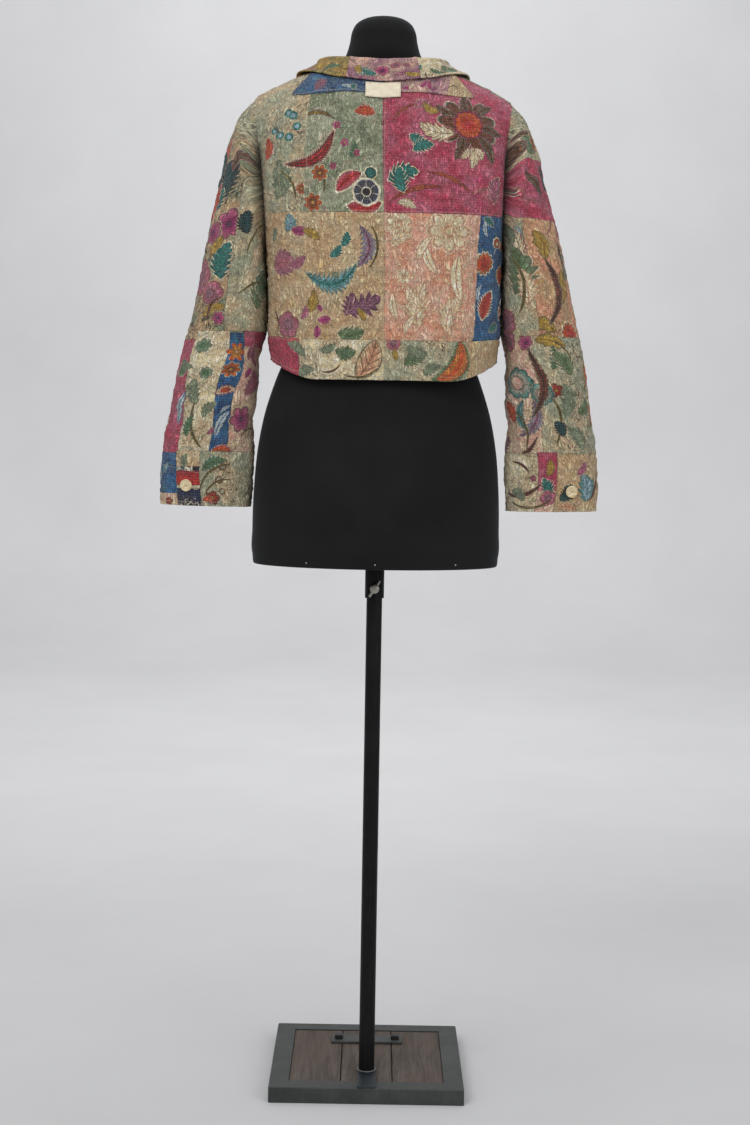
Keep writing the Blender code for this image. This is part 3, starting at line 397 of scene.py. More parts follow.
print("half width at the hem:", float(read(BODY_ROWS, HEM_Z)[0]))

# %% Points of the body
def squircle(angle, half_width, depth, corner):
    """Point of a squared oval at a plan angle from the depth axis."""
    x, y = math.sin(angle), math.cos(angle)
    reach = (abs(x / half_width) ** corner + abs(y / depth) ** corner) ** (-1 / corner)
    return x * reach, y * reach


def column_angle(share, z):
    """Plan angle of a column: upright up to the knee, squeezed towards the armhole past it."""
    if share <= KNEE_SHARE:
        return share / KNEE_SHARE * KNEE_ANGLE
    t = min(max((z - UNDERARM_Z) / (CHEST_Z - UNDERARM_Z), 0.0), 1.0)
    turn = (1 - (1 - t) ** 2.2) ** (1 / 2.2)
    end = math.pi / 2 + (ARM_ANGLE - math.pi / 2) * turn
    return KNEE_ANGLE + (share - KNEE_SHARE) / (1 - KNEE_SHARE) * (end - KNEE_ANGLE)


def hanging_point(face, share, z):
    """Point of the right half of the body below the chest."""
    half_width, back, front, corner = read(BODY_ROWS, z)
    angle = column_angle(share, z)
    x, y = squircle(angle, half_width, back if face == BACK else front, corner)
    around = math.degrees(angle) if face == BACK else 90
    rise = HEM_RISE * smooth((around - RISE_START) / RISE_SPREAD)
    return Vector((x, face * y, z + rise * (1 - smooth((z - HEM_Z) / RISE_HEIGHT))))


def neckline_point(angle):
    """Point of the right half of the neckline, by its angle from the centre back in degrees."""
    turn = math.radians(angle)
    reach = NECK_BACK if angle < 90 else NECK_FRONT
    return Vector((NECK_HALF_WIDTH * math.sin(turn), NECK_CENTRE_Y - reach * math.cos(turn),
                   read(NECKLINE_ROWS, angle)[0]))


SEAM_ANGLE = math.degrees(math.acos((NECK_CENTRE_Y - SEAM_Y) / NECK_BACK))


def neckline_angle(face, share):
    """Angle of the neckline at which a column of the body ends."""
    along = share / NECK_SHARE
    if face == BACK:
        return SEAM_ANGLE * along
    return 180 + (SEAM_ANGLE - 180) * along**FRONT_NECK_SPREAD


def top_point(face, share):
    """Point of the top edge of a half: the neckline, then the shoulder seam."""
    if share <= NECK_SHARE:
        return neckline_point(neckline_angle(face, share))
    along = (share - NECK_SHARE) / (1 - NECK_SHARE)
    point = neckline_point(SEAM_ANGLE).lerp(Vector(SHOULDER_TIP), along)
    point.z += SHOULDER_CROWN * 4 * along * (1 - along)
    return point


def body_half(face, share, level):
    """Outer point of the right half. Level 0 is the hem, 1 the chest and 2 the top edge."""
    if level <= 1:
        return hanging_point(face, share, HEM_Z + level * (CHEST_Z - HEM_Z))
    begin = hanging_point(face, share, CHEST_Z)
    end = top_point(face, share)
    chord = (end - begin).length
    direction = Vector(read(BACK_END_ROWS if face == BACK else FRONT_END_ROWS, share))
    first = begin + Vector((0, 0, START_HANDLE * chord))
    second = end - direction.normalized() * END_HANDLE * chord
    t = level - 1
    return ((1 - t) ** 3 * begin + 3 * (1 - t) ** 2 * t * first
            + 3 * (1 - t) * t**2 * second + t**3 * end)


def lean(z):
    """How far the jacket hangs off centre at a height."""
    return LOWER_SHIFT * smooth((LEAN_TOP - z) / LEAN_RUN)


def level_of(z):
    """Level of a height below the chest."""
    return (z - HEM_Z) / (CHEST_Z - HEM_Z)


LEVELS = [level_of(z) for z in (HEM_Z, 1.140, BAND_Z, 1.205, 1.240, 1.275, UNDERARM_Z,
                                1.318, 1.335, YOKE_Z, 1.390, CHEST_Z)]
LEVELS += [1.18, 1.36, 1.54, 1.70, 1.82, 1.91, 2.0]
BAND_ROW, UNDERARM_ROW, YOKE_ROW, TOP_ROW = 2, 6, 9, len(LEVELS) - 1
BACK_SHARES = (0, 0.07, 0.135, 0.19, 0.245, NECK_SHARE, 0.41, 0.52, KNEE_SHARE, 0.72, 0.80,
               0.87, 0.94, 1.0)
NECK_COLUMN, KNEE_COLUMN = BACK_SHARES.index(NECK_SHARE), BACK_SHARES.index(KNEE_SHARE)
SIDE_COLUMN = len(BACK_SHARES) - 1
FRONT_SHARES = (BAND_SHARE, *FRONT_NECK_SHARES) + BACK_SHARES[NECK_COLUMN:]


def on_side(side, point):
    """A point of the right half, moved to either side, with the jacket's lean."""
    return (side * point.x + lean(point.z), point.y, point.z)


def body_grid(face, side, shares):
    """Grid of outer points of a half, row by row from the hem."""
    return np.array([[on_side(side, body_half(face, share, level)) for share in shares]
                     for level in LEVELS])


GRIDS = {("back", side): body_grid(BACK, side, BACK_SHARES) for side in (-1, 1)}
GRIDS.update({("front", side): body_grid(FRONT, side, FRONT_SHARES) for side in (-1, 1)})
across_band = [BAND_SHARE * k for k in (-1, -0.6, 0, 0.6, 1)]
GRIDS[("band", 1)] = np.array([[on_side(1 if s >= 0 else -1, body_half(FRONT, abs(s), level))
                                for s in across_band] for level in LEVELS])
print("grids of the body:", {key: grid.shape[:2] for key, grid in GRIDS.items()})

# %% [markdown]
# A sleeve is a tube that starts on the edge of the armhole and narrows to the cuff. Each column
# of points runs on a smooth curve through the sections, and seven large folds draw the cloth in
# where it buckles at the elbow and under the shoulder.

# %% Points of the sleeves
SLEEVE_CORNER = 2.3
SLEEVE_STEPS, ELBOW_STEP, CUFF_STEP = 18, 12, 16
LOOP = ([(BACK, level) for level in reversed(LEVELS[UNDERARM_ROW:])]
        + [(FRONT, level) for level in LEVELS[UNDERARM_ROW + 1:-1]])
loop_points = [body_half(face, 1.0, level) for face, level in LOOP]
lengths = np.cumsum([0.0] + [(b - a).length
                             for a, b in zip(loop_points, loop_points[1:] + loop_points[:1])])
LOOP_ANGLES = 360 * lengths[:-1] / lengths[-1]


def sleeve_section(row, angle):
    """Point of one section of the right sleeve. Angle 0 is the outer edge, 90 the back."""
    outer_x, outer_z, inner_x, inner_z, back, front = row
    outer, inner = Vector((outer_x, 0, outer_z)), Vector((inner_x, 0, inner_z))
    cosine, sine = math.cos(math.radians(angle)), math.sin(math.radians(angle))
    reach = (abs(cosine) ** SLEEVE_CORNER + abs(sine) ** SLEEVE_CORNER) ** (-1 / SLEEVE_CORNER)
    centre = (outer + inner) / 2
    depth = back if sine >= 0 else front
    return centre + (outer - centre) * cosine * reach - Vector((0, depth * sine * reach, 0))


def sleeve_grid(side):
    """Outer points of a whole sleeve, row by row from the armhole."""
    columns = []
    for k, angle in enumerate(LOOP_ANGLES):
        points = np.array([loop_points[k]] + [sleeve_section(row, angle) for row in SLEEVE_ROWS])
        run = np.cumsum([0.0] + list(np.linalg.norm(np.diff(points, axis=0), axis=1)))
        columns.append(curve(run / run[-1], points, np.linspace(0, 1, SLEEVE_STEPS + 1)))
    grid = np.stack(columns, axis=1)
    along = np.linspace(0, 1, SLEEVE_STEPS + 1)[:, None]
    depth = np.zeros(grid.shape[:2])
    for at, turn, reach_along, reach_around, deep in FOLD_ROWS:
        aside = ((LOOP_ANGLES - turn + 180) % 360 - 180) / reach_around
        depth += deep * np.exp(-((along - at) / reach_along) ** 2 - aside[None, :] ** 2)
    around = np.roll(grid, -1, axis=1) - np.roll(grid, 1, axis=1)
    down = np.gradient(grid, axis=0)
    normal = np.cross(around, down)
    normal /= np.linalg.norm(normal, axis=2, keepdims=True)
    away = grid[0] - grid[0].mean(axis=0)
    away[:, 0] = 0
    normal[0] = away / np.linalg.norm(away, axis=1, keepdims=True)
    out = grid - grid.mean(axis=1, keepdims=True)
    normal *= np.sign((normal * out).sum(axis=2, keepdims=True))
    grid = grid - normal * depth[:, :, None]
    grid[:, :, 0] *= side
    held = 1.0 if side > 0 else 1 - smooth((1.25 - grid[:, :, 2]) / 0.25)
    grid[:, :, 0] += LOWER_SHIFT * smooth((LEAN_TOP - grid[:, :, 2]) / LEAN_RUN) * held
    return grid


def nearest_column(angle):
    """Column of the sleeve nearest to an angle round it."""
    return int(np.argmin(np.abs((angle - LOOP_ANGLES + 180) % 360 - 180)))


GRIDS.update({("sleeve", side): sleeve_grid(side) for side in (-1, 1)})
print("sleeve grid:", GRIDS[("sleeve", 1)].shape[:2])

# %% [markdown]
# ## From a few points to fine cloth
# Each panel is a flat grid, as cut, that is bent onto the jacket. The grid is finer near its
# edges, because there the seam pulls the cloth down into a narrow ditch and puckers it. Between
# the seams the cloth keeps the crinkle of washed cotton, from noise that is read at the point's
# own place, so neighbours and the trims that lie on them all move together.

# %% Crinkles and creases
CREASES = (
    # face, x and z of one end, x and z of the other, half width, depth
    (BACK, 0.196, 1.500, 0.194, 1.330, 0.0070, 0.0090),
    (BACK, -0.188, 1.500, -0.183, 1.330, 0.0070, 0.0090),
    (BACK, 0.222, 1.500, 0.236, 1.250, 0.0100, 0.0060),
    (BACK, 0.250, 1.440, 0.262, 1.200, 0.0120, 0.0055),
    (BACK, 0.214, 1.400, 0.232, 1.140, 0.0090, 0.0035),
    (BACK, 0.286, 1.300, 0.296, 1.120, 0.0100, 0.0030),
    (BACK, 0.200, 1.170, 0.300, 1.192, 0.0080, 0.0030),
    (BACK, 0.196, 1.128, 0.262, 1.140, 0.0070, 0.0026),
    (BACK, 0.240, 1.060, 0.315, 1.030, 0.0080, 0.0022),
    (BACK, 0.196, 1.020, 0.250, 1.034, 0.0070, 0.0024),
    (BACK, -0.220, 1.500, -0.226, 1.300, 0.0100, 0.0050),
    (BACK, -0.240, 1.440, -0.246, 1.210, 0.0110, 0.0045),
    (BACK, -0.206, 1.330, -0.214, 1.190, 0.0080, 0.0040),
    (BACK, -0.186, 1.172, -0.270, 1.196, 0.0075, 0.0038),
    (BACK, -0.184, 1.142, -0.240, 1.150, 0.0065, 0.0034),
    (BACK, -0.186, 1.082, -0.236, 1.094, 0.0070, 0.0036),
    (BACK, -0.186, 1.022, -0.240, 1.032, 0.0065, 0.0034),
    (BACK, -0.262, 1.030, -0.270, 0.980, 0.0040, 0.0018),
    (BACK, -0.276, 1.026, -0.282, 0.978, 0.0040, 0.0016),
    (BACK, -0.150, 1.300, -0.060, 1.288, 0.0110, 0.0018),
    (BACK, 0.020, 1.240, 0.130, 1.252, 0.0120, 0.0016),
    (BACK, -0.120, 1.212, -0.020, 1.222, 0.0100, 0.0014),
    (BACK, 0.030, 1.470, 0.140, 1.452, 0.0130, 0.0016),
    (BACK, -0.140, 1.420, -0.050, 1.436, 0.0120, 0.0014),
    (FRONT, -0.236, 1.470, -0.250, 1.240, 0.0110, 0.0050),
    (FRONT, 0.236, 1.480, 0.252, 1.230, 0.0110, 0.0050),
    (FRONT, -0.200, 1.180, -0.290, 1.200, 0.0080, 0.0032),
    (FRONT, 0.200, 1.150, 0.300, 1.176, 0.0080, 0.0032),
    (FRONT, 0.200, 1.040, 0.270, 1.052, 0.0075, 0.0026),
    (FRONT, -0.196, 1.060, -0.260, 1.048, 0.0075, 0.0026),
    (FRONT, -0.160, 1.380, -0.060, 1.340, 0.0130, 0.0022),
    (FRONT, 0.060, 1.330, 0.165, 1.372, 0.0130, 0.0024),
    (FRONT, 0.050, 1.215, 0.150, 1.228, 0.0110, 0.0018),
    (FRONT, -0.140, 1.250, -0.050, 1.236, 0.0110, 0.0018),
)
FIRM = 1.525        # above it, under the strip and the collar, the cloth is held smooth


def creases(points):
    """How far the largest creases draw the cloth in."""
    depth = np.zeros(len(points))
    flat = points[:, [0, 2]]
    for face, x0, z0, x1, z1, width, deep in CREASES:
        begin, run = np.array((x0, z0)), np.array((x1 - x0, z1 - z0))
        t = np.clip((flat - begin) @ run / (run @ run), 0, 1)
        away = np.linalg.norm(flat - begin - t[:, None] * run, axis=1) / width
        taper = np.sqrt(np.clip(4 * t * (1 - t), 0, 1)) * 0.7 + 0.3
        facing = smooth(0.5 + face * points[:, 1] / 0.03)
        depth += deep * np.exp(-away**2) * taper * facing
    return depth


def crinkle(points):
    """Fine relief of washed cotton, about a millimetre either way."""
    found = np.empty(len(points))
    for k, (x, y, z) in enumerate(points.tolist()):
        slow = noise.noise(Vector((x * 9 + 3, y * 9, z * 9)))
        wide = noise.noise(Vector((x * 44, y * 44, z * 62)))
        fine = noise.noise(Vector((x * 128, y * 128 + 5, z * 92)))
        lined = noise.noise(Vector((x * 70 + z * 40, y * 70 - 8, z * 96 - x * 30)))
        found[k] = (0.0017 * wide + (0.0012 + 0.0008 * slow) * fine
                    + 0.0026 * (0.22 - abs(lined)))
    return found


# %% Bending a panel onto the jacket
STEP = 0.0030               # size of the cloth's faces
EDGE_NEAR, EDGE_FAR = 0.0010, 0.0024            # extra rows beside an edge
GROOVE_ROWS = (-0.0024, -0.0011, 0.0, 0.0011, 0.0024)
CLOSEST = 0.0016            # an even row this near to an extra one is left out
DITCH_REACH = 0.0035        # how far from a seam the cloth starts to dip


def stations(begin, end, marks=(), step=STEP):
    """Places along a panel: even, with more of them beside its edges and its marks."""
    near = [begin, begin + EDGE_NEAR, begin + EDGE_FAR, end - EDGE_FAR, end - EDGE_NEAR, end]
    for mark in marks:
        near += [mark + offset for offset in GROOVE_ROWS]
    count = max(int(round((end - begin) / step)), 2)
    even = [place for place in np.linspace(begin, end, count + 1)
            if min(abs(place - other) for other in near) > CLOSEST]
    return np.array(sorted(near + even))


def runs(grid, axis):
    """Places of a grid's rows (0) or columns (1), by the mean distance between them."""
    gaps = np.linalg.norm(np.diff(grid, axis=axis), axis=2).mean(axis=1 - axis)
    return np.concatenate(([0.0], np.cumsum(gaps)))


def fine_grid(grid, rows, columns, marks=((), ()), step=STEP):
    """Fine points of the part of a grid between two rows and two columns."""
    down, across = runs(grid, 0), runs(grid, 1)
    row_at = stations(down[rows[0]], down[rows[1]], [down[rows[0]] + m for m in marks[0]], step)
    column_at = stations(across[columns[0]], across[columns[1]],
                         [across[columns[0]] + m for m in marks[1]], step)
    points = curve(down, grid, row_at)
    points = np.swapaxes(curve(across, np.swapaxes(points, 0, 1), column_at), 0, 1)
    return points, row_at - row_at[0], column_at - column_at[0]


def normals_of(points, centre):
    """Outward unit normals of a grid of points, away from a centre."""
    normal = np.cross(np.gradient(points, axis=1), np.gradient(points, axis=0))
    normal /= np.linalg.norm(normal, axis=2, keepdims=True)
    return normal * np.sign((normal * (points - centre)).sum())


ARMHOLE_MIDDLE = (0.175, -0.010, 1.430)
SEWN, SET_IN, DEEP = 0.0010, 0.0012, 0.0024     # ditch of a seam, of a trim, of the armhole
FOLD = 0.0016                                   # more of it where the armhole runs down the back


def painted_fold_shade(points, across):
    """Painted shade beside the sleeve, 0 to 1: darkest at the armhole edge, on the back only."""
    high = smooth((points[:, :, 2] - 1.290) / 0.03) * smooth((1.505 - points[:, :, 2]) / 0.05)
    return np.exp(-(across / 0.0075) ** 2) * high * (points[:, :, 1] < 0)


def relief(points, normal, down, across, ditches, grooves, armhole=None):
    """Move a grid of cloth by its creases, its crinkle and the ditches at its seams.

    At the armhole body and sleeve meet at an angle, so there both move towards its middle.
    """
    flat = points.reshape(-1, 3)
    held = smooth((FIRM + 0.012 - flat[:, 2]) / 0.012) * 0.85 + 0.15
    held = np.maximum(held, smooth((np.abs(flat[:, 0]) - 0.150) / 0.02))
    lift = (crinkle(flat) * held - creases(flat)).reshape(points.shape[:2])
    sides = ((down[:, None], points[:1]), (down[-1] - down[:, None], points[-1:]),
             (across[None, :], points[:, :1]), (across[-1] - across[None, :], points[:, -1:]))
    for k, ((away, line), deep) in enumerate(zip(sides, ditches)):
        if not deep:
            continue
        reach = DITCH_REACH if deep < 0.0015 else 0.009
        if k == armhole:            # it ends at the underarm and is deepest beside the back
            high = smooth((points[:, :, 2] - UNDERARM_Z + 0.012) / 0.02)
            deep = SEWN + (deep - SEWN + FOLD * smooth((1.490 - points[:, :, 2]) / 0.04)) * high
        lift = lift - deep * np.exp(-(away / reach) ** 2)
        pucker = np.array([noise.noise(Vector(p) * 150) for p in line.reshape(-1, 3).tolist()])
        lift = lift + 0.0014 * pucker.reshape(line.shape[:2]) * np.exp(-away / 0.010)
        if k == armhole:
            middle = np.array(ARMHOLE_MIDDLE) * (np.sign(points[0, -1, 0]), 1, 1)
            out = points - middle
            out /= np.linalg.norm(out, axis=2, keepdims=True)
            share = (np.exp(-(away / 0.016) ** 2) * high)[:, :, None]
            normal = normal * (1 - share) + out * share
            normal = normal / np.linalg.norm(normal, axis=2, keepdims=True)
    for axis, mark in grooves:
        away = (down[:, None] if axis == "row" else across[None, :]) - mark
        lift = lift - 0.0009 * np.exp(-(away / 0.0018) ** 2)
    return points + normal * lift[:, :, None]


def cloth_piece(name, points, uv, normal, thickness, finish, shade=None):
    """Thin cloth from a flat grid that is bent onto its points, its wall on the inside."""
    rows, columns = points.shape[:2]
    mesh = bmesh.new()
    bmesh.ops.create_grid(mesh, x_segments=columns - 1, y_segments=rows - 1, size=0.5)
    data = bpy.data.meshes.new(name)
    mesh.to_mesh(data)
    mesh.free()
    at = np.empty(len(data.vertices) * 3)
    data.vertices.foreach_get("co", at)
    at = at.reshape(-1, 3) + 0.5
    i = np.rint(at[:, 1] * (rows - 1)).astype(int)
    j = np.rint(at[:, 0] * (columns - 1)).astype(int)
    data.vertices.foreach_set("co", points[i, j].astype(np.float32).ravel())
    corner = np.empty(len(data.loops), dtype=np.int32)
    data.loops.foreach_get("vertex_index", corner)
    layer = data.uv_layers.new(name="cut")
    layer.data.foreach_set("uv", uv[i, j][corner].astype(np.float32).ravel())
    # The painted fold shade rides on the points as an attribute named fold.
    if shade is not None:
        data.attributes.new("fold", "FLOAT", "POINT").data.foreach_set(
            "value", shade[i, j].astype(np.float32).ravel())
    data.update()
    facing = sum(face.normal.dot(Vector(normal[i[face.vertices[0]], j[face.vertices[0]]]))
                 for face in list(data.polygons)[::17])
    if facing < 0:
        data.flip_normals()
    data.shade_smooth()
    data.materials.append(finish)
    thing = placed(name, data)
    wall = thing.modifiers.new("wall", "SOLIDIFY")
    wall.thickness, wall.offset = thickness, -1.0
    return thing


def cut_size(points):
    """Width, length and area of a panel before it was bent."""
    width = np.linalg.norm(np.diff(points, axis=1), axis=2).sum(axis=1).max()
    length = np.linalg.norm(np.diff(points, axis=0), axis=2).sum(axis=0).max()
    a, b, c = points[:-1, :-1], points[1:, :-1], points[:-1, 1:]
    d = points[1:, 1:]
    area = (np.linalg.norm(np.cross(b - a, c - a), axis=2)
            + np.linalg.norm(np.cross(b - d, c - d), axis=2)).sum() / 2
    return float(width), float(length), float(min(area, width * length))

# %% [markdown]
# ## Printed cloth
# The patches carry old block prints: curling leaves, open flowers, buds, rings and fine foliage.
# A picture could be mapped onto them, but a print made of nodes stays sharp and holds no image.
# Two groups draw every motif, a leaf and a flower, each with its inks and proportions as inputs,
# and a table says where each motif lies on the cut cloth, in metres.

# %% The printed leaf
def new_group(name, inputs):
    """Node group with a colour output and the inputs that a list names."""
    group = bpy.data.node_groups.new(name, "ShaderNodeTree")
    for label, kind in inputs:
        group.interface.new_socket(label, in_out="INPUT", socket_type="NodeSocket" + kind)
    group.interface.new_socket("Colour", in_out="OUTPUT", socket_type="NodeSocketColor")
    inside = group.nodes.new("NodeGroupInput").outputs
    return group, inside, group.nodes.new("NodeGroupOutput")


MOTIF_INPUTS = [("Place", "Vector"), ("Under", "Color"), ("Fill", "Color"), ("Shade", "Color"),
                ("Line", "Color"), ("Halo", "Color"), ("Rim", "Float")]


def leaf_group():
    """Leaf from 0 to 1 along X: bent, toothed, ribbed, outlined, with a pale rim round it."""
    group, given, out = new_group("printed leaf", MOTIF_INPUTS + [
        (label, "Float") for label in ("Width", "Bend", "Teeth", "Tooth", "Ribs")])
    place = add(group, "ShaderNodeSeparateXYZ", {0: given["Place"]})
    along = place.outputs[0]
    arch = times(group, times(group, along, 4.0),
                sums(group, "SUBTRACT", 1.0, along))
    aside = sums(group, "ABSOLUTE", sums(group, "SUBTRACT", place.outputs[1],
                                         times(group, arch, given["Bend"])))
    saw = sums(group, "SUBTRACT", sums(group, "FRACT", times(group, along,
                                                            given["Teeth"])), 0.5)
    body = sums(group, "POWER", sums(group, "MAXIMUM", arch, 0.0), 0.72)
    half = times(group, times(group, given["Width"], body),
                sums(group, "MULTIPLY_ADD", saw, given["Tooth"], 1.0))
    beyond = sums(group, "MAXIMUM", sums(group, "SUBTRACT", along, 1.0),
                  times(group, along, -1.0))
    gap = sums(group, "MAXIMUM", sums(group, "SUBTRACT", aside, half), beyond)
    colour = lay(group, edge(group, gap, sums(group, "ADD", given["Rim"], 0.03), given["Rim"]),
                 given["Under"], given["Halo"])
    inner = sums(group, "DIVIDE", aside, sums(group, "ADD", half, 0.002), clamp=True)
    tone = lay(group, sums(group, "POWER", inner, 1.6), given["Fill"], given["Shade"])
    colour = lay(group, edge(group, gap, 0.012, -0.012), colour, tone)
    comb = sums(group, "PINGPONG", times(group, given["Ribs"],
                sums(group, "MULTIPLY_ADD", aside, -1.3, along)), 0.5)
    ribs = times(group, edge(group, comb, 0.13, 0.07), edge(group, gap, -0.004, -0.02))
    ribs = times(group, ribs, edge(group, given["Ribs"], 0.0, 1.0))
    rib = times(group, edge(group, aside, 0.020, 0.010), edge(group, gap, 0.0, -0.01))
    line = edge(group, sums(group, "ABSOLUTE", gap), 0.024, 0.012)
    marks = sums(group, "MAXIMUM", sums(group, "MAXIMUM", rib, line), ribs)
    colour = lay(group, times(group, marks, 0.75), colour, given["Line"])
    group.links.new(colour, out.inputs[0])
    return group


LEAF = leaf_group()
print("nodes in a leaf:", len(LEAF.nodes))

# %% The printed flower
def flower_group():
    """Flower of radius 1: notched petals, streaks, an outlined edge, a dotted heart."""
    group, given, out = new_group("printed flower", MOTIF_INPUTS + [
        (label, "Float") for label in ("Petals", "Notch", "Heart")] + [("Middle", "Color")])
    place = add(group, "ShaderNodeSeparateXYZ", {0: given["Place"]})
    x, y = place.outputs[0], place.outputs[1]
    radius = sums(group, "SQRT", sums(group, "ADD", times(group, x, x), times(group, y, y)))
    turn = sums(group, "ARCTAN2", y, x)

    def waves(share):
        """Lobes round the heart, by a share of the number of petals."""
        return sums(group, "ABSOLUTE", sums(group, "COSINE", times(
            group, turn, times(group, given["Petals"], share))))

    wave = waves(0.5)
    reach = sums(group, "SUBTRACT", 1.0, times(group, given["Notch"], sums(
        group, "SUBTRACT", 1.0, sums(group, "POWER", wave, 0.75))))
    gap = sums(group, "SUBTRACT", radius, reach)
    colour = lay(group, edge(group, gap, sums(group, "ADD", given["Rim"], 0.05), given["Rim"]),
                 given["Under"], given["Halo"])
    tone = lay(group, edge(group, radius, 0.2, 1.0), given["Fill"], given["Shade"])
    colour = lay(group, edge(group, gap, 0.03, -0.03), colour, tone)
    streak = edge(group, waves(2.5), 0.30, 0.12)
    split = edge(group, wave, 0.20, 0.08)
    marks = times(group, sums(group, "MAXIMUM", split, times(group, streak, 0.5)),
                  edge(group, gap, 0.0, -0.08))
    line = edge(group, sums(group, "ABSOLUTE", gap), 0.09, 0.04)
    marks = times(group, sums(group, "MAXIMUM", marks, line), 0.75)
    colour = lay(group, marks, colour, given["Line"])
    heart = sums(group, "SUBTRACT", radius, given["Heart"])
    colour = lay(group, edge(group, heart, 0.03, -0.03), colour, given["Middle"])
    ring = edge(group, sums(group, "ABSOLUTE", heart), 0.07, 0.03)
    colour = lay(group, times(group, ring, 0.7), colour, given["Line"])
    group.links.new(colour, out.inputs[0])
    return group


FLOWER = flower_group()
print("nodes in a flower:", len(FLOWER.nodes))

# %% Motifs by name
# kind, fill, shade, line, halo, rim, then width, bend, teeth, tooth, ribs of a leaf
# or petals, notch, heart, middle of a flower
MOTIF_TABLE = """
teal leaf: leaf teal teal_dark teal_dark cream 0.035 .26 .10 6 .7 7
teal plume: leaf teal sky teal_dark sage 0.03 .15 .28 11 .9 12
dusk plume: leaf mauve sky plum beige 0.02 .15 -.26 9 .8 10
mauve leaf: leaf rose mauve plum pink 0.03 .24 .10 7 .6 8
plum leaf: leaf mauve plum plum pink 0.015 .26 .04 5 .9 6
mauve fan: leaf rose mauve brown pink 0.02 .42 -.12 6 .3 9
bud: leaf magenta rose plum pink 0.03 .30 .05 1 .1 0
blue bud: leaf sky teal teal_dark beige 0.02 .34 .16 4 .5 5
red pod: leaf red crimson_dark ink pink 0.02 .085 .22 24 .5 22
dark curl: leaf ochre brown ink sage 0.0 .050 .20 20 .6 0
brown curl: leaf brown red ink beige 0.0 .045 .16 14 .5 12
olive line: leaf olive_dark olive_dark olive_dark olive 0.0 .016 .16 1 0 0
wood branch: leaf orange ochre crimson_dark rose 0.01 .040 .10 3 .5 0
pale curl: leaf pink pink crimson_dark pink 0.0 .018 .18 1 0 0
cream leaf: leaf cream beige brown rose 0.02 .22 .12 5 .5 6
pale leaf: leaf cream beige peach_dark cream 0.0 .22 .12 6 .5 7
pale blade: leaf cream cream peach_dark cream 0.0 .13 .10 1 0 0
green leaf: leaf green grey_green olive_dark cream 0.02 .30 .12 5 .5 6
green sprig: leaf green teal olive_dark sage 0.0 .17 .14 6 .8 6
grey leaf: leaf grey_green sage_dark sage_dark sage 0.0 .24 .12 5 .5 6
ochre leaf: leaf ochre olive olive_dark tan 0.0 .22 .10 3 .3 0
brown petal: leaf brown sage_dark ink rose 0.02 .17 .10 1 .1 5
peach petal: leaf peach beige olive_dark cream 0.0 .27 .08 1 0 5
paisley: leaf orange ochre red green 0.06 .19 .26 12 .3 12
white blade: leaf sky white blue_dark sky 0.0 .12 .10 4 .4 0
flame leaf: leaf red orange crimson_dark cream 0.05 .24 .06 9 .6 9
seed head: flower ink navy white cream 0.10 7 .08 .34 ink
dark leaf: leaf teal_dark ink ink beige 0.02 .34 .10 7 .5 8
sky leaf: leaf sky teal blue_dark blue 0.0 .24 .10 5 .6 6
red wing: leaf red rose crimson_dark cream 0.05 .22 .10 12 .2 11
crimson leaf: leaf orange red crimson_dark pink 0.03 .24 .08 5 .5 6
orange flower: flower brown orange brown cream 0.10 7 .42 .20 ochre
sun flower: flower red orange brown cream 0.16 12 .30 .30 red
eye flower: flower orange red brown cream 0.30 9 .16 .40 cream
large flower: flower red orange crimson_dark magenta 0.06 14 .10 .12 red
dark corolla: flower brown brown ink cream 0.06 9 .46 .30 brown
small bloom: flower magenta rose plum sage 0.06 5 .40 .25 ochre
mauve rose: flower mauve rose brown pink 0.06 5 .16 .34 mauve
magenta bloom: flower magenta rose plum beige 0.10 6 .30 .20 plum
yellow star: flower ochre orange red ochre 0.05 6 .60 .18 cream
cream flower: flower beige cream peach_dark cream 0.10 8 .34 .24 beige
green rose: flower green grey_green teal_dark cream 0.10 7 .26 .26 green
teal scroll: flower pink teal teal_dark pink 0.06 9 .16 .44 pink
ring: flower teal teal teal_dark sage 0.02 2 0 .56 sky
dark square: flower sage brown brown sage 0.02 4 .12 .50 sage
red bloom: flower red brown ink pink 0.05 5 .34 .24 ochre
green seed: flower teal teal_dark ink cream 0.20 7 .12 .20 teal
"""
MOTIFS = {name: row.split() for name, row in (
    line.split(": ") for line in MOTIF_TABLE.strip().splitlines())}


def motif(tree, under, spot, name, x, y, turn, size):
    """Print one motif over a colour, at a place on the cut cloth in metres."""
    kind, fill, shade, line, halo, rim, *shape = MOTIFS[name]
    local = add(tree, "ShaderNodeMapping", {
        "Vector": spot, "Location": (x, y, 0), "Rotation": (0, 0, math.radians(turn)),
        "Scale": (size, size, 1)}, vector_type="TEXTURE").outputs[0]
    values = {"Place": local, "Under": under, "Fill": INKS[fill], "Shade": INKS[shade],
              "Line": INKS[line], "Halo": INKS[halo], "Rim": float(rim)}
    labels = (("Width", "Bend", "Teeth", "Tooth", "Ribs") if kind == "leaf"
              else ("Petals", "Notch", "Heart", "Middle"))
    values.update((label, INKS[value] if label == "Middle" else float(value))
                  for label, value in zip(labels, shape))
    node = add(tree, "ShaderNodeGroup", node_tree=LEAF if kind == "leaf" else FLOWER)
    for label, value in values.items():
        if isinstance(value, bpy.types.NodeSocket):
            tree.links.new(value, node.inputs[label])
        else:
            node.inputs[label].default_value = value
    return node.outputs[0]


print("motifs:", len(MOTIFS))

# %% [markdown]
# ## The patches
# Under its motifs each patch has a ground: two close tones in soft clouds, with fine broken lines
# of foliage over them. A patch may also hold a second cloth, sewn on across a line. Last come
# the things that all the cloth shares: rows of tiny running stitches, painted shade that darkens
# the fine crease lines of the crinkle over a soft mottled tone, painted shade in the fold beside
# the sleeve, and a bump for what is too fine to model.

# %% Grounds
FINE_FOLDS = ((150, 46, 0.10), (120, 52, 0.85), (112, 50, -0.70))   # across, up, turn
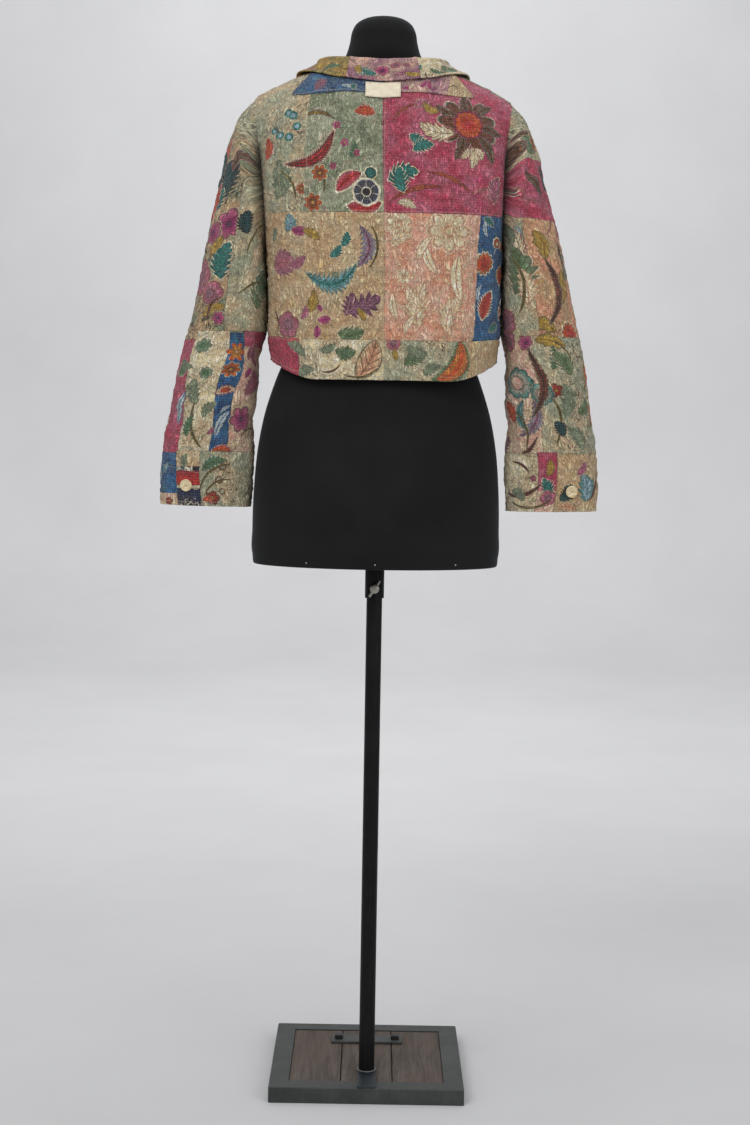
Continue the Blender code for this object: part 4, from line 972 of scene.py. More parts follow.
# ground, its second tone, ink and amount of the fine foliage, ink and amount of small blots
GROUNDS = {
    "sage": ("sage", "grey_green", "olive_dark", 0.60, "rose", 0.25),
    "sage rings": ("sage", "beige", "ink", 0.70, "olive", 0.30),
    "crimson": ("crimson", "rose", "crimson_dark", 0.45, "magenta", 0.30),
    "pink red": ("crimson", "crimson", "crimson_dark", 0.20, "red", 0.40),
    "tan": ("tan", "beige", "brown", 0.28, "ochre", 0.35),
    "peach": ("peach", "pink", "beige", 0.75, "beige", 0.75),
    "blue": ("blue", "blue_dark", "sky", 0.30, "teal", 0.45),
    "cream": ("cream", "beige", "ink", 0.55, "grey_green", 0.50),
    "olive": ("ochre", "olive", "olive_dark", 0.60, "brown", 0.30),
    "beige": ("beige", "tan", "sage_dark", 0.25, "ochre", 0.30),
    "pinkish": ("pink", "beige", "mauve", 0.40, "rose", 0.35),
    "sage hatch": ("sage", "beige", "ink", 0.80, "olive", 0.30),
    "dark garden": ("tan", "grey_green", "ink", 0.90, "ink", 0.85),
    "dotted": ("navy", "ink", "white", 0.90, "white", 0.90),
    "violet": ("mauve", "pink", "plum", 0.35, "magenta", 0.65),
    "red band": ("red", "crimson_dark", "ink", 0.30, "red", 0.20),
    "sand": ("tan", "peach", "brown", 0.45, "ochre", 0.45),
}


def ground(tree, spot, name):
    """Colour of a patch before its motifs."""
    first, second, ink, amount, blot, blots = GROUNDS[name]
    colour = lay(tree, edge(tree, mottle(tree, spot, 26, 3.0), 0.36, 0.66),
                 INKS[first], INKS[second])
    spread = mottle(tree, spot, 60, 2.0, 0.5, 1.2)
    colour = lay(tree, times(tree, edge(tree, spread, 0.60, 0.68), blots),
                 colour, INKS[blot])
    field = sums(tree, "PINGPONG", times(tree, mottle(tree, spot, 42, 2.5, 0.5, 1.0),
                                        8.0), 0.5)
    some = edge(tree, mottle(tree, spot, 13, 1.0), 0.44, 0.58)
    line = times(tree, edge(tree, field, 0.17, 0.06), some)
    return lay(tree, times(tree, line, amount), colour, INKS[ink])


def printed_cloth(name, base, rows=()):
    """Finish of one patch: ground, motifs, inlays, stitches, painted shade and relief."""
    made, tree, shader = new_finish(name, 0.88, sheen=0.15, specular=0.25)
    shader.inputs["Sheen Roughness"].default_value = 0.5
    spot = add(tree, "ShaderNodeUVMap", uv_map="cut").outputs[0]
    flat = add(tree, "ShaderNodeSeparateXYZ", {0: spot})
    axes = {"x": flat.outputs[0], "y": flat.outputs[1]}
    colour = ground(tree, spot, base)
    for row in rows:
        if row[0] != "cloth":
            colour = motif(tree, colour, spot, *row)
            continue
        inside, (_, left, right, low, high, other) = 1.0, row
        edges = (("x", left, 1), ("x", right, -1), ("y", low, 1), ("y", high, -1))
        for axis, begin, turn in edges:
            if begin is not None:
                inside = times(tree, inside, edge(
                    tree, axes[axis], begin - turn * 6e-4, begin + turn * 6e-4))
        colour = lay(tree, inside, colour, ground(tree, spot, other))
        # Painted seam shadow: a thin dark line along each edge of the inlay.
        seam = times(tree, inside, sums(tree, "SUBTRACT", 1.0, inside))
        colour = lay(tree, times(tree, seam, 2.8), colour, INKS["ink"])
    stitch_row = sums(tree, "PINGPONG", times(tree, axes["y"], 250.0), 0.5)
    stitch_gap = sums(tree, "FRACT", sums(tree, "MULTIPLY_ADD", axes["x"], 290.0,
                                          sums(tree, "FLOOR", times(tree, axes["y"],
                                                                   250.0))))
    stitch = times(tree, edge(tree, stitch_row, 0.14, 0.06),
                  sums(tree, "LESS_THAN", stitch_gap, 0.5))
    colour = lay(tree, times(tree, stitch, 0.16), colour, INKS["white"])
    soft = mottle(tree, spot, 120, 3.0, 0.6, 0.4)
    folds = 1.0
    for across, up, turn in FINE_FOLDS:
        turned = add(tree, "ShaderNodeMapping", {"Vector": spot, "Rotation": (0, 0, turn),
                                                 "Scale": (across, up, 1)}).outputs[0]
        fold = sums(tree, "ABSOLUTE", sums(tree, "SUBTRACT", mottle(
            tree, turned, 1.0, 2.0, 0.5, 0.6), 0.5))
        folds = times(tree, folds, edge(tree, fold, -0.02, 0.075))
    # Painted shade: the fine crease lines darken the cloth and the stretches between them are
    # lightened; the soft noise adds random tone. The same height makes the bump.
    worn = sums(tree, "MULTIPLY_ADD", folds, 0.6, times(tree, edge(
        tree, soft, 0.32, 0.68), 0.4))
    colour = lay(tree, 0.72, colour, lay(tree, worn, (0.20, 0.18, 0.17, 1),
                                         (0.72, 0.71, 0.69, 1)), mode="OVERLAY")
    # Painted shade: darkened towards ink by the fold attribute, in the fold beside the sleeve.
    deep = add(tree, "ShaderNodeAttribute", attribute_name="fold").outputs["Fac"]
    colour = lay(tree, times(tree, deep, 0.80), colour, INKS["ink"])
    tree.links.new(colour, shader.inputs["Base Color"])
    weave = mottle(tree, stretch(tree, spot, 260, 520), 1.0, 2.0, 0.7)
    height = sums(tree, "MULTIPLY_ADD", weave, 0.08, worn)
    height = sums(tree, "SUBTRACT", height, times(tree, edge(
        tree, stitch_row, 0.2, 0.0), 0.06))
    raise_from(tree, shader, height, 0.0045, 1.0)
    return made


# %% Reading a print
def print_rows(text):
    """Rows of a print from its text: motifs and inlaid cloths, with their lengths in metres."""
    rows = []
    for words in (row.split() for row in text.split(";")):
        if words[0] == "cloth":
            edges = [None if word == "-" else float(word) / 1000 for word in words[1:5]]
            rows.append(("cloth", *edges, " ".join(words[5:])))
            continue
        x, y, turn, size = (float(word) for word in words[-4:])
        rows.append((" ".join(words[:-4]), x / 1000, y / 1000, turn, size / 1000))
    return rows


# %% The prints of the patches
# Ground, then motifs (name, across, up, turn, size) and inlays (cloth, across from and to, up
# from and to, ground), all in millimetres on the cut cloth, then the seams as grooves (axis,
# place in metres)
PRINTS = {
    "back_yoke_left": ("sage", """
        grey leaf 62 124 60 26; grey leaf 40 122 118 26; grey leaf 26 100 70 30;
        green sprig 50 82 100 28; olive line 90 30 70 50; dark curl 77 145 -4 54;
        red pod 148 72 144 88; small bloom 73 134 0 7; orange flower 96 59 10 12.5;
        orange flower 107 14 80 14; crimson leaf 12 152 8 32; small bloom 59 106 0 6.8;
        small bloom 40 90 0 5.6; small bloom 76 70 0 6; red wing 34 60 -38 46;
        red wing 54 9 174 50; seed head 26 31 12 20; green seed 19 60 0 8.5""",
        [("column", 0.118), ("column", 0.158)]),
    "yoke_side": ("sage rings", """
        grey leaf 164 20 95 60; grey leaf 150 30 60 40; ring 150 153 0 6.6; ring 142 149 0 6.8;
        ring 134 131 20 6.4; ring 171 124 0 5; ring 160 117 0 6.4; ring 145 114 40 6.6;
        crimson leaf 183 80 92 34; red pod 148 72 144 88; orange flower 124 35 40 9;
        olive line 134 20 60 50""",
        []),
    "back_yoke_right": ("crimson", """
        wood branch 10 18 16 82; wood branch 66 63 -24 70; wood branch 14 138 40 50;
        teal leaf 42 120 -48 32; teal leaf 46 96 18 32; teal leaf 8 50 18 46;
        teal leaf 30 32 98 38; dark corolla 134 138 10 46; brown petal 148 120 -62 46;
        brown petal 150 134 -18 40; brown petal 148 150 34 38; brown petal 124 120 -112 40;
        brown petal 118 152 150 36; brown petal 134 158 88 30; large flower 134 138 0 21.5;
        cream leaf 112 124 166 56; cream leaf 136 104 -92 34; cream leaf 132 102 -128 22;
        cream leaf 140 102 -58 22; pale curl 132 30 2 48; pale curl 150 34 -60 30;
        cream leaf 20 16 -16 30; mauve leaf 50 166 18 26; ochre leaf 90 158 150 30;
        mauve leaf 172 20 80 40""",
        []),
    "back_lower_left": ("tan", """
        blue bud 150 162 100 28; bud 142 165 182 24; mauve fan 182 106 172 46;
        mauve leaf 150 110 152 32; dusk plume 36 172 -84 64; teal plume 118 98 170 76;
        teal leaf 64 140 112 24; teal leaf 82 124 132 24; grey leaf 68 94 20 14;
        olive line 22 110 94 60; plum leaf 58 36 106 36; plum leaf 56 41 154 54;
        bud 101 29 172 20; bud 104 2 96 19; bud 96 42 60 12; mauve rose 152 20 20 20;
        brown curl 174 8 74 34; ochre leaf 118 40 108 36; ochre leaf 30 28 60 22;
        green leaf 70 10 176 40; mauve leaf 128 30 110 22; grey leaf 180 150 100 24;
        ochre leaf 98 150 30 30""",
        []),
    "hem_back_left": ("cream", """
        cloth 132 - - - pink red; green leaf 74 44 184 32; green sprig 66 30 120 24;
        grey leaf 120 34 20 34; grey leaf 106 16 -30 30; grey leaf 98 44 160 26;
        peach petal 40 2 116 64; olive line 60 8 170 50; brown curl 94 12 160 30""",
        [("column", 0.132)]),
    "back_lower_middle": ("peach", """
        cream flower 98 166 0 31; cream flower 22 174 20 20; cream flower 28 96 0 11;
        pale leaf 52 18 84 70; pale leaf 94 12 72 60; pale leaf 60 50 130 42;
        pale leaf 104 40 58 40; pale blade 20 30 100 42; pale blade 118 60 94 72;
        pale blade 80 100 112 52; pale blade 50 120 60 44; pale leaf 8 140 30 40;
        pale blade 30 8 60 36""",
        []),
    "back_lower_right": ("blue", """
        sun flower 13 118 10 16.5; flame leaf 12 34 66 44; eye flower 40 156 0 9.5;
        white blade 4 172 30 26; white blade 14 158 100 28; white blade 4 60 80 28;
        white blade 34 130 60 22; sun flower 62 98 0 15; eye flower 66 40 0 9;
        flame leaf 70 140 110 34; teal leaf 30 14 20 24; teal leaf 6 186 -20 20""",
        []),
    "hem_back_right": ("sage hatch", """
        cloth 131 - - - beige; paisley 118 60 -122 68; mauve rose 14 56 0 11;
        green leaf 30 24 20 34; grey leaf 66 40 160 34; ochre leaf 20 30 100 18;
        grey leaf 60 8 30 30""",
        [("column", 0.131)]),
    "neck_strip": ("blue", """
        cloth 4 112 - - violet; cloth 112 - - - beige; white blade -30 6 20 26;
        white blade -70 10 -10 30; plum leaf -118 6 30 24; teal leaf -50 4 60 16; bud 30 8 10 18;
        bud 60 10 30 20; cream leaf 42 6 60 16; bud 82 6 120 16; olive line 110 8 20 30""",
        []),
    "collar_left": ("olive", """
        ochre leaf -100 30 20 40; mauve leaf -136 46 40 22; olive line -80 34 100 40;
        small bloom -118 52 0 7; green sprig -64 40 160 30; green leaf -170 30 60 34;
        red bloom -196 50 0 10""",
        []),
    "collar_middle": ("violet", """
        magenta bloom -2 44 20 12; blue bud -12 52 176 26; teal leaf -30 46 20 22;
        mauve rose 18 32 0 8; mauve rose 34 32 0 6; ochre leaf 30 52 10 26;
        ochre leaf -36 34 80 22""",
        []),
    "collar_right": ("cream", """
        teal leaf 56 34 120 24; green sprig 70 44 30 30; green leaf 96 34 60 30;
        brown curl 62 52 80 22; green rose 112 50 0 11; grey leaf 140 34 60 32;
        mauve rose 176 46 0 12""",
        []),
}

PRINTS = {name: (base, print_rows(rows), grooves)
          for name, (base, rows, grooves) in PRINTS.items()}
print("motifs and inlays:", sum(len(rows) for _, rows, _ in PRINTS.values()))

# %% The prints of the sleeves
# Each sleeve is drawn once, round it from its outer edge and up by height, and every piece of it
# takes the rows that reach it, so the print runs on over the seams.
SLEEVE_PRINTS = {
    -1: ("dark garden", """
        crimson leaf 44 1438 92 44; dark leaf 30 1400 84 62; dark leaf 62 1386 80 62;
        teal leaf 52 1366 82 36; crimson leaf 30 1352 76 60; crimson leaf 66 1318 96 36;
        brown petal 70 1430 60 40; dark leaf 10 1440 100 50; magenta bloom 82 1346 20 23;
        magenta bloom 54 1334 50 19; mauve rose 36 1266 0 29; mauve rose 70 1240 0 19;
        teal leaf 82 1262 84 56; ochre leaf 60 1296 60 36; plum leaf 6 1310 70 44;
        ochre leaf 56 1206 20 40; magenta bloom 84 1202 0 11; dark leaf -34 1400 120 50;
        mauve leaf -34 1260 60 50; brown curl 66 1200 60 40; cloth 94 - 1183 - sage rings;
        ring 126 1408 0 6.8; ring 114 1420 0 5; grey leaf 120 1440 80 34;
        dark leaf 112 1330 96 36; green sprig 128 1360 100 30; olive line 118 1300 60 50;
        pale leaf 136 1280 70 40; green leaf 140 1218 64 56; green rose 160 1256 0 22;
        olive line 112 1240 20 50; ring 170 1340 0 7; cloth - - 1492 - sage hatch;
        cloth - 55 - 1170 crimson; cloth 55 103 - 1183 cream; cloth 103 128 - 1180 blue;
        cloth 128 - - 1183 pinkish; cloth 128 - 1160 1183 crimson; green rose 40 1122 0 10;
        white blade 46 1040 80 50; pale curl 30 1060 100 40; teal leaf -20 1080 70 40;
        cream leaf 0 1020 60 34; green rose 70 1160 0 11; green rose 84 1118 30 9;
        grey leaf 62 1126 150 26; grey leaf 76 1070 100 40; grey leaf 86 1050 50 30;
        olive line 90 1004 104 70; green sprig 66 1020 80 34; mauve leaf 96 1024 30 16;
        yellow star 115 1151 0 14; orange flower 113 1124 0 11; cream leaf 102 1086 14 28;
        crimson leaf 108 1089 14 16; white blade 108 1020 66 44; white blade 112 1056 40 20;
        mauve leaf 140 1140 60 26; mauve fan 150 1086 74 40; magenta bloom 148 1048 10 20;
        bud 136 1112 60 18; mauve leaf 166 1130 110 36; olive line 150 1020 20 40;
        crimson leaf 108 1000 -10 30; cloth - 52 - 995 blue; cloth - 52 - 932 pinkish;
        cloth 52 90 - 998 beige; cloth 52 90 966 974 dotted; cloth 52 90 945 967 red band;
        cloth 52 90 940 945 cream; cloth 52 90 - 940 dotted; cloth 90 - - 998 sage hatch;
        white blade 14 950 80 26; sky leaf 28 962 60 20; red bloom 36 920 0 6;
        grey leaf 66 972 80 22; dark square 126 974 20 6; dark square 120 954 0 6;
        dark square 124 936 0 5; red bloom 108 926 0 11; green sprig 94 968 24 40;
        olive line 90 940 40 60; olive line 96 930 30 50; crimson leaf 92 922 10 16"""),
    1: ("sand", """
        pale curl 70 1340 110 50; pale curl 44 1300 60 44; mauve leaf 30 1330 80 40;
        ochre leaf 80 1300 80 44; brown curl 60 1250 96 80; ochre leaf 56 1236 90 50;
        grey leaf 36 1270 90 44; ochre leaf 74 1190 20 44; sun flower 48 1190 0 16;
        brown curl 84 1200 92 100; cloth 101 - 1183 1362 sage rings; cream leaf 114 1300 80 44;
        green leaf 128 1246 92 74; pale leaf 112 1230 84 56; olive line 124 1220 88 80;
        mauve rose 154 1206 0 20; grey leaf 140 1310 110 40; white blade 104 1336 40 20;
        cloth - - 1362 - crimson; teal leaf 118 1384 96 48; pale curl 90 1390 50 50;
        brown petal 62 1396 60 44; crimson leaf 112 1372 40 18; pale curl 60 1376 20 40;
        dark leaf 34 1410 80 40; cloth - - 1456 - sage hatch; brown petal 46 1470 70 46;
        green leaf 66 1462 100 40; orange flower 40 1486 0 15; brown petal 84 1466 110 40;
        cloth - 112 - 1183 sage hatch; cloth 112 - - 1183 pinkish; paisley 34 1106 96 44;
        paisley 22 1046 84 36; red bloom 90 1100 0 11; ochre leaf 64 1168 12 44;
        green sprig 90 1132 100 36; green leaf 64 1124 60 40; grey leaf 76 1060 90 50;
        green leaf 54 1066 140 36; olive line 90 1020 84 70; olive line 60 1146 50 40;
        grey leaf 50 1010 60 40; dark leaf 78 1030 60 26; teal scroll 142 1111 10 24;
        teal scroll 110 1094 60 17; dusk plume 124 1084 -66 60; teal plume 140 1084 -96 46;
        magenta bloom 124 1172 0 12; plum leaf 166 1160 60 34; mauve rose 158 1176 0 16;
        brown curl 126 1060 94 104; brown curl 166 996 146 56; crimson leaf 162 1050 66 36;
        plum leaf 186 1000 100 30; olive line 136 1010 70 60; cloth - - - 1003 tan;
        cloth 122 - - 1003 cream; cloth 93 122 946 1005 crimson; cloth 93 122 - 946 pinkish;
        teal leaf 104 936 70 30; mauve rose 104 934 0 12; ochre leaf 108 968 100 26;
        blue bud 44 930 80 42; teal leaf 62 938 40 24; brown curl 40 930 110 50;
        peach petal 56 916 10 30; mauve leaf 60 970 120 24; dark leaf 84 930 120 30;
        brown curl 176 940 166 60; olive line 160 926 176 60; brown curl 136 972 30 34;
        small bloom 130 964 0 5; grey leaf 140 930 30 30"""),
}
SLEEVE_PRINTS = {side: (base, print_rows(rows)) for side, (base, rows) in SLEEVE_PRINTS.items()}
SLEEVE_SEAMS = (1.183, 1.000)       # heights at which the photograph shows the sleeves' seams


ZONES_ACROSS, ZONES_UP = (.055, .103, .128), (1.000, 1.090, 1.183, 1.300, 1.380, 1.456)
ZONE_MARGIN = 0.004
zone_finishes = {}


def zone_finish(side, i, j):
    """Finish of one zone of a sleeve, from the rows that reach it; the last cloth that covers it
    is its ground. One shader can't hold a whole sleeve's print, so it is split into zones."""
    if (side, i, j) not in zone_finishes:
        box = [(([-9.0] + list(breaks))[k] - ZONE_MARGIN, (list(breaks) + [9.0])[k] + ZONE_MARGIN)
               for breaks, k in ((ZONES_ACROSS, i), (ZONES_UP, j))]
        base, kept = SLEEVE_PRINTS[side][0], []
        for row in SLEEVE_PRINTS[side][1]:
            if row[0] == "cloth":
                ends = [(-9.5 if a is None else a, 9.5 if b is None else b)
                        for a, b in (row[1:3], row[3:5])]
                if all(a <= low and b >= high for (a, b), (low, high) in zip(ends, box)):
                    base, kept = row[5], []
                    continue
                reach = 0.0
            else:
                ends, reach = [(row[1], row[1]), (row[2], row[2])], row[4] * 1.05
            if all(a - reach < high and b + reach > low for (a, b), (low, high) in zip(ends, box)):
                kept.append(row)
        zone_finishes[side, i, j] = printed_cloth(
            f"sleeve_{'left' if side < 0 else 'right'}_print_{i}_{j}", base, kept)
    return zone_finishes[side, i, j]


def print_sleeve(piece, side):
    """Give every face of a sleeve piece the finish of the zone that it lies in."""
    data = piece.data
    uv = np.empty(len(data.loops) * 2)
    data.uv_layers["cut"].data.foreach_get("uv", uv)
    start = np.empty(len(data.polygons), dtype=np.int32)
    data.polygons.foreach_get("loop_start", start)
    uv = uv.reshape(-1, 2)[start]
    zone = (np.searchsorted(ZONES_ACROSS, uv[:, 0]) * 100 + np.searchsorted(ZONES_UP, uv[:, 1]))
    found, index = np.unique(zone, return_inverse=True)
    data.materials.clear()
    for key in found.tolist():
        data.materials.append(zone_finish(side, key // 100, key % 100))
    data.polygons.foreach_set("material_index", index.astype(np.int32))


def scattered(names, across, up, seed):
    """Motifs strewn over a plain stretch of cloth, each well apart from the others."""
    import random
    chance, rows = random.Random(seed), []
    for k in range(60):
        x, y = chance.uniform(*across), chance.uniform(*up)
        if all(math.hypot(x - row[1], y - row[2]) > 0.036 for row in rows):
            name = names[len(rows) % len(names)]
            size = 0.014 if MOTIFS[name][0] == "flower" else 0.046
            rows.append((name, x, y, chance.uniform(0, 360), size * chance.uniform(0.8, 1.2)))
    return rows[:16]


# Cloth that the photograph doesn't show: ground, motifs, where across and up, seed
PLAIN_PRINTS = {
    "front_left": ("tan", ("teal plume", "mauve leaf", "magenta bloom", "ochre leaf", "bud"),
                   (.0, .24), (.0, .44), 3),
    "front_right": ("sage", ("orange flower", "green leaf", "red pod", "ring", "grey leaf"),
                    (.0, .24), (.0, .44), 5),
    "hem_front_left": ("pinkish", ("mauve rose", "teal leaf", "green leaf"),
                       (.0, .24), (.0, .06), 7),
    "hem_front_right": ("peach", ("cream flower", "pale leaf"), (.0, .24), (.0, .06), 9),
    "front_band_over": ("cream", ("green rose", "grey leaf"), (.0, .04), (.0, .44), 11),
    "front_band_under": ("cream", ("grey leaf",), (.0, .04), (.0, .44), 13),
    "sleeve_left_upper_front": ("peach", ("cream flower", "pale leaf", "mauve leaf"),
                                (-.20, -.06), (1.18, 1.50), 15),
    "sleeve_left_lower_front": ("tan", ("teal leaf", "mauve leaf", "bud"), (-.18, -.05),
                                (.98, 1.18), 17),
    "sleeve_left_cuff_front": ("tan", ("mauve leaf", "teal leaf"), (-.16, -.05), (.91, .98), 19),
    "sleeve_right_upper_front": ("sage", ("orange flower", "green leaf", "ring"), (-.20, -.06),
                                 (1.18, 1.50), 21),
    "sleeve_right_lower_front": ("cream", ("green rose", "grey leaf", "green leaf"),
                                 (-.18, -.05), (.98, 1.18), 23),
    "sleeve_right_cuff_front": ("peach", ("pale leaf", "mauve rose"),
                                (-.16, -.05), (.91, .98), 25),
}
for name, (base, names, across, up, seed) in PLAIN_PRINTS.items():
    PRINTS[name] = (base, scattered(names, across, up, seed), [])
finishes = {name: printed_cloth(name + "_print", base, rows)
            for name, (base, rows, _) in PRINTS.items()}
print("printed cloths:", len(finishes))

# %% [markdown]
# ## Sewing the body
# Each patch is laid on its stretch of the jacket, dips at its seams and rides on the form in place
# of its solid; the width and length it was cut to are kept and printed at the end.

# %% Body patches
cut_rows = {}


def declare(thing, node, size):
    """Say which body a piece of cloth rides on, which node it stands for, and how it was cut."""
    width, length, area = size
    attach(thing, "form")
    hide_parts(node)
    cut_rows[node] = (round(width, 3), round(length, 3))


ALL_ROUND, SIDE_DEEP, FREE_HEM = (SEWN,) * 4, (SEWN, SEWN, SEWN, DEEP), (0, SEWN, SEWN, SEWN)
BODY_PATCHES = (
    # node, grid, side, rows, columns, ditch at the low, high, first and last edge
    ("back_yoke_left", "back", -1, (YOKE_ROW, TOP_ROW), (0, SIDE_COLUMN), SIDE_DEEP),
    ("back_yoke_right", "back", 1, (YOKE_ROW, TOP_ROW), (0, SIDE_COLUMN), SIDE_DEEP),
    ("back_lower_left", "back", -1, (BAND_ROW, YOKE_ROW), (0, SIDE_COLUMN), SIDE_DEEP),
    ("back_lower_middle", "back", 1, (BAND_ROW, YOKE_ROW), (0, KNEE_COLUMN), ALL_ROUND),
    ("back_lower_right", "back", 1, (BAND_ROW, YOKE_ROW), (KNEE_COLUMN, SIDE_COLUMN), SIDE_DEEP),
    ("hem_back_left", "back", -1, (0, BAND_ROW), (0, SIDE_COLUMN), FREE_HEM),
    ("hem_back_right", "back", 1, (0, BAND_ROW), (0, SIDE_COLUMN), FREE_HEM),
    ("front_left", "front", -1, (BAND_ROW, TOP_ROW), (0, 16), (SEWN, SEWN, SEWN, SET_IN)),
    ("front_right", "front", 1, (BAND_ROW, TOP_ROW), (0, 16), (SEWN, SEWN, SEWN, SET_IN)),
    ("hem_front_left", "front", -1, (0, BAND_ROW), (0, 16), FREE_HEM),
    ("hem_front_right", "front", 1, (0, BAND_ROW), (0, 16), FREE_HEM),
    ("front_band_over", "band", 1, (0, TOP_ROW), (0, 4), (0, 0, SEWN, SEWN)),
)
SIDE_CLOTH_FROM = 0.117
ARMHOLE_EDGE = {"back_yoke_left": 3, "back_yoke_right": 3, "back_lower_left": 3,
                "back_lower_right": 3, "front_left": 2, "front_right": 2}
BODY_MIDDLE = np.array((0.004, 0.010, 1.300))
patch_points = {}
for node, key, side, rows, columns, ditches in BODY_PATCHES:
    grooves = PRINTS[node][2]
    marks = ([m for axis, m in grooves if axis == "row"],
             [m for axis, m in grooves if axis == "column"])
    points, down, across = fine_grid(GRIDS[(key, side)], rows, columns, marks)
    normal = normals_of(points, BODY_MIDDLE)
    size = cut_size(points)
    up, out = (np.insert(np.cumsum(np.linalg.norm(np.diff(points, axis=k), axis=2), k), 0, 0, k)
               for k in (0, 1))         # distance up the cloth, and out from its first edge
    moved = relief(points, normal, down, across, ditches, grooves, armhole=ARMHOLE_EDGE.get(node))
    patch_points[node] = (moved, normal, down, across)
    shade = painted_fold_shade(points, (across[-1] - across)[None, :]) if ditches[3] == DEEP else None
    piece = cloth_piece(node + "_cloth", moved, np.dstack((out, up)), normal, WALL, finishes[node],
                        shade)
    declare(piece, node, size)
    if node == "back_yoke_left":            # its outer part is cut from a second cloth
        piece.data.materials.append(finishes["yoke_side"])
        for face in piece.data.polygons:
            face.material_index = int(piece.data.uv_layers["cut"].data[
                face.loop_indices[0]].uv.x > SIDE_CLOTH_FROM)
print("body patches:", {node: cut_rows[node] for node in list(cut_rows)[:4]})

# %% Band under the front band
over, normal, down, across = patch_points["front_band_over"]
inset = [j for j, place in enumerate(across) if 0.002 < place < across[-1] - 0.002]
under = over[1:-1, inset] - normal[1:-1, inset] * (WALL + LAY_GAP)
size = cut_size(under)
uv = np.dstack(np.meshgrid(across[inset], down[1:-1]))
piece = cloth_piece("front_band_under_cloth", under, uv, normal[1:-1, inset], WALL,
                    finishes["front_band_under"])
declare(piece, "front_band_under", size)

# %% [markdown]
# ## Sleeves
# The sleeve pieces run along the tube. Their print is measured round the sleeve from its outer
# edge and up by height, so a motif that is placed at a height stays there on every piece.

# %% Sleeve patches
UPPER, LOWER, CUFF = (0, ELBOW_STEP), (ELBOW_STEP, CUFF_STEP), (CUFF_STEP, SLEEVE_STEPS)
SLEEVE_CUTS = (
    # side, tier, rows, pieces with the angles round the sleeve that they run from and to
    (-1, "upper", UPPER, (("outer", 320, 100), ("inner", 100, 200), ("front", 200, 320))),
    (-1, "lower", LOWER, (("outer", 320, 50), ("middle", 50, 92), ("strip", 92, 125),
                          ("inner", 125, 200), ("front", 200, 320))),
    (-1, "cuff", CUFF, (("outer", 320, 50), ("placket", 50, 92), ("inner", 92, 200),
                        ("front", 200, 320))),
    (1, "upper", UPPER, (("outer", 320, 110), ("inner", 110, 200), ("front", 200, 320))),
    (1, "lower", LOWER, (("outer", 320, 92), ("inner", 92, 200), ("front", 200, 320))),
    (1, "cuff", CUFF, (("outer", 320, 80), ("placket", 80, 105), ("inner", 105, 200),
                       ("front", 200, 320))),
)
SIDES = {-1: "left", 1: "right"}
SLEEVE_PIECES = [(f"sleeve_{SIDES[side]}_{tier}_{name}", side, rows, begin, end)
                 for side, tier, rows, pieces in SLEEVE_CUTS for name, begin, end in pieces]
CAP_ROWS = 5


def sleeve_with_cut(side):
    """A sleeve's grid with two more values: how far round from the outer edge, and height."""
    grid = GRIDS[("sleeve", side)]
    step = np.linalg.norm((np.roll(grid, -1, axis=1) - grid)[:, :, :2], axis=2)
    run = np.concatenate((np.zeros((len(grid), 1)), np.cumsum(step, axis=1)), axis=1)
    run[:CAP_ROWS] = run[CAP_ROWS]          # the grain runs straight up the cap
    whole = run[:, -1:]
    slope = np.linalg.norm(np.diff(grid, axis=0), axis=2)
    drop = -np.diff(grid[:, :, 2], axis=0)
    over = smooth((grid[:-1, :, 2] - 1.39) / 0.04)      # on the cap the cloth lies over
    up = np.concatenate((np.cumsum((drop + over * (slope - drop))[::-1], axis=0)[::-1],
                         np.zeros((1, grid.shape[1])))) + grid[-1:, :, 2]
    turns = [np.dstack((grid, run[:, :-1] + whole * k, up)) for k in (-1, 0, 1)]
    return np.concatenate(turns, axis=1)


sleeve_patches = {}
TOUCH = 0.0016              # a hanging sleeve lies on the side of the body, above the hem
for side in (-1, 1):
    grid, edge_line = GRIDS[("sleeve", side)], GRIDS[("back", side)][:UNDERARM_ROW + 1, -1]
    for row in grid[1:]:
        inner = np.abs(row[:, 0]).min()
        body = np.interp(row[:, 2], edge_line[:, 2], np.abs(edge_line[:, 0]))
        share = (smooth((0.034 - (np.abs(row[:, 0]) - inner)) / 0.034)
                 * smooth((row[:, 2] - 1.150) / 0.04) * (row[:, 2] < 1.330))
        row[:, 0] -= side * np.maximum(inner - body - TOUCH, 0) * share
for node, side, rows, begin, end in SLEEVE_PIECES:
    wide = sleeve_with_cut(side)
    count = len(LOOP_ANGLES)
    first, last = nearest_column(begin), nearest_column(end)
    if begin > 200:
        first -= count
    if begin == 200:
        first, last = first - count, last - count
    kept = wide[:, first + count - 2:last + count + 3]
    down, across = runs(kept[:, :, :3], 0), runs(kept[:, :, :3], 1)
    row_at = stations(down[rows[0]], down[rows[1]])
    column_at = stations(across[2], across[-3])
    fine = curve(down, kept, row_at)
    fine = np.swapaxes(curve(across, np.swapaxes(fine, 0, 1), column_at), 0, 1)
    points, uv = fine[:, :, :3], fine[:, :, 3:]
    middle = GRIDS[("sleeve", side)][rows[0]:rows[1] + 1].reshape(-1, 3).mean(axis=0)
    normal = normals_of(points, middle)
    size = cut_size(points)
    ditches = (DEEP if rows == UPPER else SEWN, 0 if rows == CUFF else SEWN, SEWN, SEWN)
    moved = relief(points, normal, row_at - row_at[0], column_at - column_at[0], ditches, (),
                   armhole=0 if rows == UPPER else None)
    if begin != 200:
        for height in SLEEVE_SEAMS:
            moved = moved - normal * 0.0010 * np.exp(-((uv[:, :, 1:] - height) / 0.003) ** 2)
    sleeve_patches[node] = (moved, normal, uv)
    shade = painted_fold_shade(points, (row_at - row_at[0])[:, None]) if rows == UPPER else None
    piece = cloth_piece(node + "_cloth", moved, uv, normal, WALL, finishes.get(node), shade)
    if begin != 200:
        print_sleeve(piece, side)
    declare(piece, node, size)
print("sleeve patches:", len(sleeve_patches), "in", len(zone_finishes), "zones of print")

